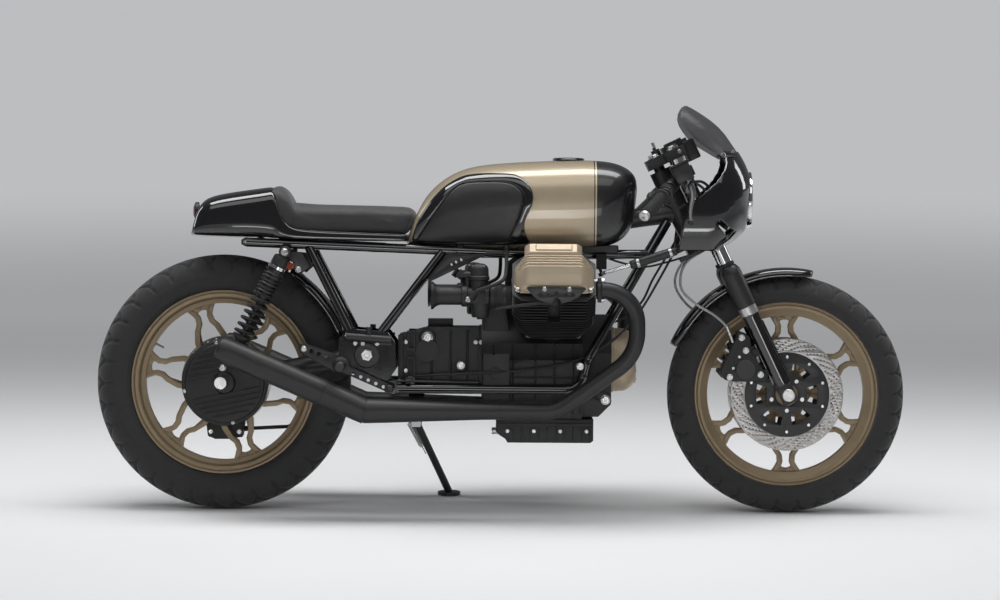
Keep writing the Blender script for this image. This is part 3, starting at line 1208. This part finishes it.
# %% Shock absorbers
def coil(start, end, radius, wire, turns, steps=26):
    axis = (end - start).normalized()
    side = axis.orthogonal().normalized()
    count = int(turns * steps)
    return tube([ring(along(start, end, k / count), axis, side, radius, steps)[k % steps]
                 for k in range(count + 1)],
                wire, 8)


TOP = Vector((-584, -134, 689))
LOW = Vector((-708, -134, 440))
down = (LOW - TOP).normalized()
eyes = [lathe([(-15, 13), (-14, 15), (14, 15), (15, 13)], end, LEFTWARD, 32) for end in (TOP, LOW)]
collar_parts = lathe([(10, 9), (16, 20), (22, 21.5), (40, 21.5), (42, 18), (52, 18), (54, 21), (150, 16.5),
                      (152, 12)],
                     TOP, down, 40)
silver_ring = lathe([(42, 23), (43, 24.5), (51, 24.5), (52, 23)], TOP, down, 40)
chrome_rod = bar(TOP + 140 * down, LOW - 12 * down, 7)
seat_ring = lathe([(248, 15), (249, 25), (254, 25.5), (258, 22), (266, 12)], TOP, down, 40)
springs = joined(coil(TOP + 57 * down, TOP + 128 * down, 23, 3.6, 7),
                 coil(TOP + 127 * down, TOP + 248 * down, 24, 4.2, 6.5))
caps = [bolt(end + Vector((0, -15, 0)), RIGHTWARD, 15, 9) for end in (TOP, LOW)]
shock = [(both(joined(*eyes, collar_parts, seat_ring)), SATIN), (both(springs), SATIN),
         (both(silver_ring), CHROME), (both(chrome_rod), SATIN), (both(joined(*caps)), STEEL)]
piece("shock_absorbers", "chassis", shock, ["rear_shocks"], sharp=35)

# %% Final drive
DRIVE_AT = REAR + Vector((9, 0, 0))
drive_profile = [(66, 10.3), (66, 100), (70, 112), (74, 114.5), (104, 114.5), (107, 112), (107, 106),
                 (111, 105), (113, 103), (114, 98), (114, 30), (124, 26), (126, 22), (126, 10.3)]
hub_cover = lathe(drive_profile, DRIVE_AT, RIGHTWARD, 80, loop=True)
drive_ribs = []
for z in (-86, -72, -58, -44, -30, 30, 44, 58, 72, 86):
    half_chord = math.sqrt(100 ** 2 - z ** 2) - 2
    rib_shape = block((-half_chord, -119, z - 2), (half_chord, -112, z + 2))
    drive_ribs.append(moved(turned(rib_shape, (0, 0, 0), -12), Matrix.Translation(DRIVE_AT)))
drive_ribs.append(bar((-708, -117.7, 440), (-708, -92, 440), 17))
drive_ribs.append(moved(block((26, -112, 70), (64, -92, 106)), Matrix.Translation(REAR)))
cover_nuts = [bolt(REAR + Vector((9 + 108 * math.cos(a), -107, 108 * math.sin(a))), RIGHTWARD, 8, 5)
              for a in [math.radians(90 * k + 12) for k in range(4)]]
oil_plug = bolt(REAR + Vector((4, -114, 40)), RIGHTWARD, 14, 6)
piece("drive_housing", "chassis",
      [(joined(hub_cover, *drive_ribs), CAST), (joined(*cover_nuts, oil_plug), STEEL)], ["final_drive"],
      bevel=1.0, sharp=32)

# %% Rear caliper and torque rod
caliper_outline = [(-800, 190), (-806, 236), (-792, 262), (-712, 262), (-700, 236), (-706, 190),
                   (-730, 182), (-780, 182)]
halves = [cutout([caliper_outline], 40, 57.5, 3), cutout([caliper_outline], 74.5, 89, 3)]
halves.append(cutout([[(-798, 186), (-708, 186), (-712, 212), (-794, 212)]], 56, 76, 2))
halves += [lathe([(0, 20), (5, 19), (7, 15), (7, 0.01)], (-753, y, 226), (0, out, 0), 32)
           for y, out in ((89, 1), (40, -1))]
hanger = cutout([[(-775, 250), (-730, 250), (-728, 322), (-736, 352), (-752, 362), (-770, 352), (-776, 322)],
                 disc_outline(REAR.x, REAR.z, 10.3, 24), disc_outline(-752, 296, 8, 18),
                 disc_outline(-752, 270, 6, 16)], 76.3, 84, 1)
torque_rod = joined(bar((-712, 82, 208), (-560, 82, 216), 5), bar((-716, 82, 208), (-690, 82, 209), 7),
                    bar((-584, 82, 215), (-560, 82, 216), 7))
caliper_bolts = joined(*[bolt((x, y, z), (0, out, 0), 10, 7) for y, out in ((89, 1), (40, -1))
                         for x, z in ((-792, 202), (-715, 202), (-794, 250), (-712, 250))])
piece("rear_brake_caliper", "chassis",
      [(joined(*halves), CAST), (joined(hanger, torque_rod), SATIN), (caliper_bolts, STEEL)],
      ["rear_caliper"], sharp=32)

# %% Foot controls
lever_plate = [(-547, 437), (-540, 446), (-524, 446), (-430, 414), (-408, 396), (-410, 378), (-428, 366),
               (-450, 372), (-540, 422)]
lever_holes = [disc_outline(x, z, 5.5, 16) for x, z in ((-512, 427), (-492, 420), (-473, 413))]
plate = cutout([lever_plate] + lever_holes, -155, -145, 1.5)
hub_ring = lathe([(0, 21), (2, 23), (12, 23), (14, 21), (16, 13), (20, 12), (20, 0.01)], (-432, -150, 389),
                 RIGHTWARD, 40)
peg = lathe([(0, 9), (4, 12), (6, 11)] + [(8 + 7 * k + d, 11.5 - 2.2 * (d in (3, 4))) for k in range(11)
                                          for d in (0, 3, 4, 6)]
            + [(92, 12.5), (94, 11)], (-432, -168, 389), RIGHTWARD, 28)
pedal = [(-438, 400), (-446, 390), (-438, 376), (-308, 320), (-297, 324), (-295, 334), (-302, 342)]
slots = [disc_outline(-400 + 20 * k, 369.5 - 8.7 * k, 4.6, 14) for k in range(5)]
pedal_arm = cutout([pedal] + slots, -169, -162, 1.2)
toe = lathe([(0, 6), (2, 9.5), (5, 8.6), (10, 9.5), (15, 8.6), (20, 9.5), (24, 9), (26, 7)],
            (-302, -166, 331), RIGHTWARD, 24)
foot_parts = [(both(joined(plate, pedal_arm)), SATIN), (both(joined(hub_ring, peg, toe)), SATIN),
              (both(joined(bolt((-531, -155, 433), RIGHTWARD, 12, 8),
                           bolt((-432, -188, 389), RIGHTWARD, 10, 5))),
               STEEL)]
piece("foot_controls", "chassis", foot_parts, ["rearsets"], sharp=32)

# %% Frame detail on the right and left
cylinder_line = joined(bar((-420, -150, 466), (-300, -150, 458), 11),
                       bar((-360, -150, 462), (-360, -150, 492), 8),
                       block((-330, -156, 444), (-300, -144, 470)))
stack = [lathe([(0, 17), (12, 17.6), (15, 15), (15, 8), (12, 7)], (-365, -145, 417), RIGHTWARD, 6),
         bolt((-396, -145, 448), RIGHTWARD, 9, 6), bolt((-376, -145, 448), RIGHTWARD, 9, 6),
         bolt((-338, -145, 448), RIGHTWARD, 9, 6), bolt((-550, -112, 642), RIGHTWARD, 13, 9),
         bolt((-417, -151, 470), RIGHTWARD, 9, 7)]
hub_boss = lathe([(0, 34), (4, 34), (6, 31), (6, 0.01)], (-365, -140, 417), RIGHTWARD, 40)
gusset = cutout([[(-584, 690), (-540, 686), (-520, 650), (-540, 632), (-556, 640), (-592, 676)],
                 disc_outline(-550, 642, 5, 14)],
                -112, -106, 1)
bracket_holes = [disc_outline(x, z, 4.5, 14) for x, z in ((-145, 657), (-133, 664), (-119, 670))]
web_plate = cutout([[(-168, 684), (-60, 692), (-52, 684), (-200, 612), (-206, 620)]] + bracket_holes, -103,
                   -99, 1)
tail_tab = cutout([[(-660, 703), (-660, 724), (-690, 727), (-702, 720), (-702, 708), (-690, 702)],
                   disc_outline(-690, 714.5, 4, 12)],
                  -99, -89, 1.2)
reflector = lathe([(0, 12), (3, 12), (5, 10), (5, 0.01)], (-572, -118, 652), RIGHTWARD, 32)
rail_end = bar((352, -49.8, 687.8), (381, -45.4, 688), 12.4)
rod_link = joined(bar((-340, -128, 350), (-70, -118, 345), 3.4), bar((-262, -126, 348), (-250, -126, 348), 7))
frame_parts = [(both(joined(cylinder_line, hub_boss, gusset, web_plate, tail_tab, rod_link, rail_end)),
                SATIN),
               (both(joined(*stack, bolt((-690, -98, 714.5), RIGHTWARD, 9, 6))), STEEL),
               (both(reflector), AMBER)]
piece("frame_fittings", "chassis", frame_parts, sharp=32)

# %% Stand springs
def by_stand(share, aside):
    return along((-250, 146, 236), (-186, 203, 112), share) + Vector((aside, 0, 0))


spring_parts = [coil(by_stand(0.12, aside), by_stand(0.62, aside), 6.5, 1.4, 16, 12) for aside in (-16, 0)]
hooks = [tube(flowing([by_stand(first, aside), by_stand(last, aside)], 2), 1.6, 8)
         for aside in (-16, 0) for first, last in ((0.0, 0.12), (0.62, 0.8))]
piece("stand_springs", "side_stand", [(joined(*spring_parts, *hooks), STEEL)])

# %% [markdown]
# ## Front end
# These pieces ride on the steering. They are drawn in the fork's own frame: Z runs up the fork
# tubes from the axle and X points forward.


# %% Fork legs
def fork_lathe(profile):
    return lathe(profile, (0, -FORK_HALF, 0), UP, 44)


leg = fork_lathe([(26, 17), (30, 21), (40, 22), (228, 22), (236, 23.5), (238, 22.5), (238, 17.7)])
sleeve = fork_lathe([(260, 25), (262, 27.5), (350, 28), (362, 27.5), (370, 24), (376, 21), (378, 17.8)])
band = fork_lathe([(236, 24), (237.5, 25.6), (258.5, 25.6), (260, 24)])
pinch = cutout([[(-20, -22), (20, -22), (20, 30), (-20, 30)], [(-1, -22.5), (1, -22.5), (1, 0), (-1, 0)]],
               -114, -71.5, 2)
axle_cap = lathe([(0, 17), (6, 17), (8, 15.5), (8, 8), (3, 7), (3, 0.01)], (0, -116.8, 0), RIGHTWARD, 36)
ridge = joined(bar((22, -FORK_HALF, 60), (22, -FORK_HALF, 210), 3), bar((-22, -86, 40), (-22, -86, 160), 5))
ring_clip = fork_lathe([(378, 17.8), (380, 20), (386, 20), (388, 17.8)])
leg_parts = [(both(joined(leg, ridge)), GLOSS), (both(joined(sleeve, pinch)), SATIN),
             (both(joined(band, axle_cap)), ALLOY), (both(ring_clip), RUBBER),
             (both(bolt((12, -103, -12), RIGHTWARD, 8, 5)), STEEL)]
piece("fork_lowers", "steering", leg_parts, ["fork_legs"], matrix=FORK, bevel=0.8, sharp=32)

# %% Front calipers
to_fork = FORK.inverted() @ PARK


def fork_spot(x, z):
    spot_in = to_fork @ Vector((x, 0, z))
    return spot_in.x, spot_in.z


def fork_point(x, y, z):
    fork_x, fork_z = fork_spot(x, z)
    return fork_x, y, fork_z


outline = [fork_spot(x, z) for x, z in ((618, 484), (636, 482), (650, 470), (655, 430), (694, 372),
                                        (694, 356), (650, 352), (612, 352), (586, 356), (572, 372),
                                        (578, 392), (598, 436), (612, 462))]
cover_plate = cutout([outline], -108, -76, 3)
inner_half = cutout([outline], -56, -36, 3)
bridge_fins = []
for k in range(6):
    fx, fz = fork_spot(588 + 5.5 * k, 398 + 13 * k)
    bridge_fins.append(block((fx - 12, -92, fz - 2.4), (fx + 10, -46, fz + 2.4)))
piston = lathe([(0, 27), (3, 27), (5, 25), (5, 0.01)], fork_point(639, -108, 384), RIGHTWARD, 40)
caliper_screws = [bolt(fork_point(x, -108, z), RIGHTWARD, 13, 8)
                  for x, z in ((628, 469), (639, 435), (597, 364), (679, 371))]
caliper_screws += [bolt(fork_point(x, -108, z), RIGHTWARD, 6, 4) for x, z in ((622, 418), (606, 388))]
bleed = joined(*[bar(fork_point(x, -88, z), fork_point(x - 14, -88, z + 10), 4.5)
                 for x, z in ((600, 428), (578, 404))])
lugs = joined(block((-44, -98, 68), (-21, -84, 88)), block((-44, -98, 128), (-21, -84, 148)))
caliper_set = [(both(joined(cover_plate, inner_half, *bridge_fins, lugs)), CAST), (both(piston), SATIN),
               (both(joined(*caliper_screws, bleed)), STEEL)]
piece("front_brake_calipers", "steering", caliper_set, ["front_calipers"], matrix=FORK,
      sharp=32)

# %% Handlebars and grips
BAR_TOP = Vector((472, -112, 905))
BAR_END = Vector((361, -315, 792))
outward = (BAR_END - BAR_TOP).normalized()
reach = (BAR_END - BAR_TOP).length


def on_bar(profile, share):
    return lathe(profile, along(BAR_TOP, BAR_END, share), outward, 40)


clip = moved(joined(lathe([(636, 26), (638, 27), (662, 27), (664, 26)], (0, -FORK_HALF, 0), UP, 40),
                    block((-34, -100, 640), (-22, -85, 660))), PARK.inverted() @ FORK)
bars = on_bar([(-0.04 * reach, 10), (-0.035 * reach, 11), (reach * 0.998, 11)], 0)
weight = on_bar([(0, 11), (1, 14), (9, 14.4), (12, 13.4), (14, 9), (14, 5), (10, 4.4), (10, 0.01)], 1.0)
piece("clip_on_bars", "steering", [(both(joined(clip, bars)), SATIN), (both(weight), ALLOY)], ["clip_ons"],
      sharp=32)
grip_profile = [(0, 11.2), (0, 20), (1, 22.6), (4, 23), (6.5, 22), (9, 17)]
for k in range(22):
    grip_profile += [(12 + 4.4 * k, 15.2), (13 + 4.4 * k, 16.1), (15.2 + 4.4 * k, 16.1),
                     (16.2 + 4.4 * k, 15.2)]
grip_profile += [(reach * 0.43 - 3, 17.2), (reach * 0.43 - 1, 16.6), (reach * 0.43, 11.2)]
piece("grip_rubbers", "steering", [(both(on_bar(grip_profile, 0.57)), RUBBER)], ["hand_grips"],
      sharp=40)

# %% Levers, switches and reservoirs
clamp_body = on_bar([(0, 20), (2, 21), (20, 21), (22, 18), (30, 18), (31, 20)], 0.42)
perch = on_bar([(0, 17), (2, 18), (28, 18), (30, 17)], 0.26)
arm = tube(flowing([along(BAR_TOP, BAR_END, 0.32), (462, -172, 888), (466, -190, 878)]),
           [12, 11.6, 11.4, 11.2, 11] + [11] * 12, 20)
cup_turn = Matrix.Translation((466, -190, 878)) @ Matrix.Rotation(-RAKE, 4, "Y")
cup = moved(cutout([[(-15, 2), (31, 0), (33, 46), (-17, 46)]], -18, 36, 4), cup_turn)
cup_lid = moved(cutout([[(-18, 46), (35, 46), (34, 52), (-17, 52)]], -20, 38, 1.6), cup_turn)
lid_screws = moved(joined(*[bolt((x, y, 51.5), UP, 5, 2.6) for x in (-10, 27) for y in (-13, 31)]), cup_turn)
lever_path = flowing([(474, -182, 884), (484, -204, 862), (487, -232, 838), (481, -262, 808),
                      (479, -285, 788), (480, -298, 775)],
                     8)
blade = tube(lever_path, [7.5 - 0.07 * min(k, 40) for k in range(len(lever_path))], 14)
ball = lathe([(-9, 0.01), (-8, 4), (-4, 8), (0, 9), (4, 8), (8, 4), (9, 0.01)], (480, -300, 774), RIGHTWARD,
             28)
pivot = joined(bolt((476, -188, 896), (0.2, 0, 1), 10, 6), bar((474, -196, 850), (478, -196, 892), 4))
cables = tube(flowing([along(BAR_TOP, BAR_END, 0.52) + Vector((0, 0, -19)), (420, -214, 822),
                       (452, -196, 812), (470, -160, 820)]),
              3.6, 10)
control_parts = [(both(joined(clamp_body, perch, arm, cup)), SATIN), (both(cup_lid), CAST),
                 (both(joined(blade, ball)), SATIN), (both(joined(lid_screws, pivot)), STEEL),
                 (both(cables), RUBBER)]
piece("levers_and_switches", "steering", control_parts, ["hand_controls"], sharp=34)

# %% Instruments
DIAL = finish("dial_face", (0.75, 0.75, 0.73), rough=0.4, bump=0.02)
binnacle = cutout([[(28.6, 672), (60, 672), (62, 676), (62, 724), (58, 728), (32, 728), (28.6, 722)]], -66,
                  66, 3)
pads = joined(block((-24, -60, 722.3), (46, -6, 736.3)), block((-24, 6, 722.3), (46, 60, 736.3)))
dials = [lathe([(0, 23), (3, 24), (6, 22.5), (6, 20), (3.4, 20), (3.4, 0.01)], (11, y, 736.2), UP, 40)
         for y in (-33, 33)]
faces = [lathe([(0, 19.4), (0.6, 19.4), (0.6, 0.01)], (11, y, 739.4), UP, 32) for y in (-33, 33)]
marks = []
for y in (-33, 33):
    for k in range(11):
        mark = block((12.5, -0.5, 740), (17.5, 0.5, 740.4))
        marks.append(moved(mark,
                           Matrix.Translation((11, y, 0)) @ Matrix.Rotation(math.radians(120 + 24 * k), 4,
                                                                            "Z")))
    needle = block((-3, -0.7, 740.6), (14, 0.7, 741.2))
    marks.append(moved(needle, Matrix.Translation((11, y, 0)) @ Matrix.Rotation(math.radians(150), 4, "Z")))
key = joined(bar((-40, 0, 722), (-40, 0, 740), 12), lathe([(0, 5), (6, 5), (7, 4)], (-40, 0, 740), UP, 20))
key_blade = block((-42, -1, 746), (-34, 1, 761))
instrument_parts = [(joined(binnacle, pads, *dials, key), SATIN), (joined(*faces), DIAL),
                    (joined(*marks), RED),
                    (joined(key_blade, bolt((-50, -FORK_HALF, 722), UP, 16, 7)), STEEL)]
piece("instrument_cluster", "steering", instrument_parts, ["instruments"], matrix=FORK,
      bevel=0.8, sharp=34)

# %% Yoke bolts
yoke_bolts = [bolt((0, side * FORK_HALF, 726), UP, 24, 7) for side in (-1, 1)]
yoke_bolts += [bolt((-50, 0, 722), UP, 28, 10)]
yoke_bolts += [bolt((12, side * 118, z), (0, side, 0), 9, 6) for side in (-1, 1) for z in (454, 708)]
piece("yoke_bolts", "steering", [(joined(*yoke_bolts), STEEL)], matrix=FORK)

# %% Damper body
eye_a = Vector((256, -102, 636))
eye_b = Vector((463, -97, 701))
stroke = (eye_b - eye_a).length
tube_body = lathe([(0.36 * stroke, 5.2), (0.36 * stroke, 9), (0.37 * stroke, 11), (0.43 * stroke, 11),
                   (0.435 * stroke, 12.6), (0.9 * stroke, 12.6), (0.905 * stroke, 11),
                   (0.95 * stroke, 11)], eye_a, eye_b - eye_a, 40)
band_rings = joined(*[lathe([(at, 12.7), (at + 1, 13), (at + 7, 13), (at + 8, 12.7)], eye_a, eye_b - eye_a,
                            40)
                      for at in (0.44 * stroke, 0.86 * stroke)])
rod_eye = moved(lathe([(-7, 10), (-6, 12), (6, 12), (7, 10)], (0, 0, 0), UP, 28),
                Matrix.Translation(eye_b) @ Matrix.Rotation(-RAKE, 4, "Y"))
piece("damper_body", "damper_cylinder", [(joined(tube_body, rod_eye), SATIN), (band_rings, STEEL)],
      ["damper_cylinder"])

# %% [markdown]
# ## Hoses and cables
# A hose whose ends both sit on the steering simply rides along.

# %% Brake hoses
hose_path = flowing([(566, -78, 720), (518, -84, 695), (480, -92, 668), (465, -98, 632), (470, -104, 592),
                     (508, -108, 556), (556, -106, 527), (589, -102, 496), (604, -96, 462)], 8)
fitting = joined(bar((596, -100, 480), (606, -95, 456), 4.6), bar((588, -103, 499), (597, -100, 478), 3.8))
hose_two = flowing([(560, 70, 724), (508, 84, 690), (470, 96, 650), (462, 104, 600), (498, 110, 548),
                    (552, 108, 516), (589, 104, 484), (604, 96, 458)], 8)
upper_hose = flowing([(486, -164, 880), (520, -140, 880), (548, -110, 850), (560, -90, 790), (566, -78, 720)],
                     8)
hoses = [(joined(tube(hose_path, 3.6, 12), tube(hose_two, 3.6, 12)), HOSE),
         (joined(fitting, mirrored(fitting)), STEEL), (both(tube(upper_hose, 3.8, 12)), RUBBER)]
piece("brake_hoses", "steering", hoses)


# %% Cables to the engine
def bending_cable(name, points, radius):
    thing = piece(name, None, [(tube(flowing(points, 10), radius, 10), RUBBER)])
    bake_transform(thing)


bending_cable("engine_cable", [(480, -62, 742), (452, -72, 700), (410, -92,
                                                                  625), (362, -112, 545), (310, -118, 482),
                               (250, -116, 436), (176, -112, 402), (60, -110,
                                                                    381), (-60, -128, 372), (-170, -118, 366),
                               (-250, -100, 360)], 3.2)
bending_cable("head_cable", [(560, -40, 712), (500, -52, 690), (430, -64,
                                                                668), (366, -70, 655), (300, -66, 668),
                             (236, -60, 690), (180, -56, 696)], 2.8)
bending_cable("left_cable", [(470, 66, 745), (440, 80, 690), (400, 98, 620), (372, 112, 560), (330, 116, 520),
                             (290, 108, 500)], 3.2)

# %% Kept nodes
kept = {"frame_spine": SATIN, "upper_frame_rails": GLOSS, "frame_diagonals": GLOSS, "lower_cradle": GLOSS,
        "crankcase": CAST, "gearbox": CAST, "swingarm": SATIN, "rear_axle": STEEL, "steering_yokes": SATIN,
        "fork_tubes": CHROME, "front_axle": STEEL, "damper_rod": CHROME, "side_stand": SATIN}

# %% [markdown]
# ## Studio
# The stage is one pale sheet of paper, far larger than any view of it, so there is no wall that
# could stand in the way of a look from behind. Close to the machine the lamps light it. Farther
# out its colour turns greyer and a soft glow takes over, so it reads as a seamless backdrop. One
# long softbox hangs overhead, a low one draws a line along the belly of the tank, and two narrow
# ones behind draw the rims of black paint.

# %% Floor
STAGE = 120
floor_mesh = bpy.data.meshes.new("studio_floor")
floor_mesh.from_pydata([(-STAGE, -STAGE, 0), (STAGE, -STAGE, 0), (STAGE, STAGE, 0), (-STAGE, STAGE, 0)],
                       [], [(0, 1, 2, 3)])
floor = bpy.data.objects.new("studio_floor", floor_mesh)
bpy.context.collection.objects.link(floor)
paper = finish("studio_paper", (0.86, 0.865, 0.875), rough=0.7, spread=0.05, shade=0.995, slow=0.5, bump=0.0)
paper_nodes, paper_links = paper.node_tree.nodes, paper.node_tree.links
paper_shader = paper_nodes["Principled BSDF"]
paper_colour = paper_shader.inputs["Base Color"].links[0].from_socket
paper_place = paper_nodes.new("ShaderNodeTexCoord")
paper_axes = paper_nodes.new("ShaderNodeSeparateXYZ")
paper_links.new(paper_place.outputs["Object"], paper_axes.inputs[0])
distance = paper_nodes.new("ShaderNodeVectorMath")
distance.operation = "LENGTH"
paper_links.new(paper_place.outputs["Object"], distance.inputs[0])


def ease(socket, start, end, top):
    """A smooth step of the socket's value, from 0 at start to top at end."""
    step = paper_nodes.new("ShaderNodeMapRange")
    step.interpolation_type = "SMOOTHSTEP"
    step.inputs["From Min"].default_value = start
    step.inputs["From Max"].default_value = end
    step.inputs["To Max"].default_value = top
    paper_links.new(socket, step.inputs["Value"])
    return step.outputs["Result"]


def paper_sum(first, second):
    add = paper_nodes.new("ShaderNodeMath")
    add.operation = "ADD"
    paper_links.new(first, add.inputs[0])
    paper_links.new(second, add.inputs[1])
    return add.outputs[0]


# %% Grey of the far floor
grey_mix = paper_nodes.new("ShaderNodeMix")
grey_mix.data_type = "RGBA"
paper_links.new(ease(paper_axes.outputs["Y"], 0.4, 4.2, 1), grey_mix.inputs["Factor"])
paper_links.new(paper_colour, grey_mix.inputs["A"])
grey_mix.inputs["B"].default_value = (0.46, 0.463, 0.47, 1)
paper_links.new(grey_mix.outputs["Result"], paper_shader.inputs["Base Color"])

# %% Glow of the far floor
all_round = ease(distance.outputs["Value"], 3.2, 11.2, 0.27)
behind = ease(paper_axes.outputs["Y"], 1.8, 4.6, 0.19)
towards = paper_nodes.new("ShaderNodeMath")
towards.operation = "MULTIPLY"
towards.inputs[1].default_value = -1
paper_links.new(paper_axes.outputs["Y"], towards.inputs[0])
in_front = ease(towards.outputs[0], 5.5, 12, 0.16)
glow = paper_sum(paper_sum(all_round, behind), in_front)
paper_links.new(glow, paper_shader.inputs["Emission Strength"])
paper_shader.inputs["Emission Color"].default_value = (0.97, 0.98, 1.0, 1)
floor_mesh.materials.append(paper)


# %% Lights
def softbox(name, at, aim, size, power):
    data = bpy.data.lights.new(name, "AREA")
    data.shape = "RECTANGLE"
    data.size, data.size_y = size
    data.energy = power
    lamp = bpy.data.objects.new(name, data)
    bpy.context.collection.objects.link(lamp)
    lamp.location = at
    lamp.visible_camera = False
    lamp.rotation_euler = (Vector(aim) - Vector(at)).to_track_quat("-Z", "Y").to_euler()
    return lamp


softbox("overhead", (0.0, 0.05, 3.4), (0, 0, 0.4), (4.6, 1.2), 112)
softbox("low_glow", (0.2, -3.1, 0.3), (0.1, 0, 0.7), (3.2, 0.3), 2.0).data.spread = math.radians(62)
softbox("rear_left", (-4.2, 1.8, 2.2), (-0.4, 0, 0.6), (0.8, 2.4), 26)
softbox("rear_right", (4.2, 1.8, 2.2), (0.4, 0, 0.6), (0.8, 2.4), 26)
softbox("floor_glow", (0.0, -3.4, 4.6), (0, -0.6, 0), (8.0, 2.6), 84)
world = bpy.data.worlds.new("studio_air")
bpy.context.scene.world = world
world.use_nodes = True
air_nodes, air_links = world.node_tree.nodes, world.node_tree.links
air_nodes["Background"].inputs["Color"].default_value = (0.86, 0.87, 0.9, 1)
air_nodes["Background"].inputs["Strength"].default_value = 0.13
haze = air_nodes.new("ShaderNodeBackground")
haze.inputs["Color"].default_value = (0.97, 0.98, 1.0, 1)
haze.inputs["Strength"].default_value = 0.5
seen = air_nodes.new("ShaderNodeLightPath")
air_mix = air_nodes.new("ShaderNodeMixShader")
air_links.new(seen.outputs["Is Camera Ray"], air_mix.inputs[0])
air_links.new(air_nodes["Background"].outputs[0], air_mix.inputs[1])
air_links.new(haze.outputs[0], air_mix.inputs[2])
air_links.new(air_mix.outputs[0], air_nodes["World Output"].inputs["Surface"])
bpy.context.scene.view_settings.view_transform = "Standard"

# %% [markdown]
# ## Finish
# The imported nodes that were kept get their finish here, then the two boxes are written down:
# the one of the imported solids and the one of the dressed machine.

# %% Finishes for the kept nodes
for node, look in kept.items():
    target = frame["nodes"][node]
    for item in target.material_slots:
        item.material = look
print("kept nodes:", len(kept))
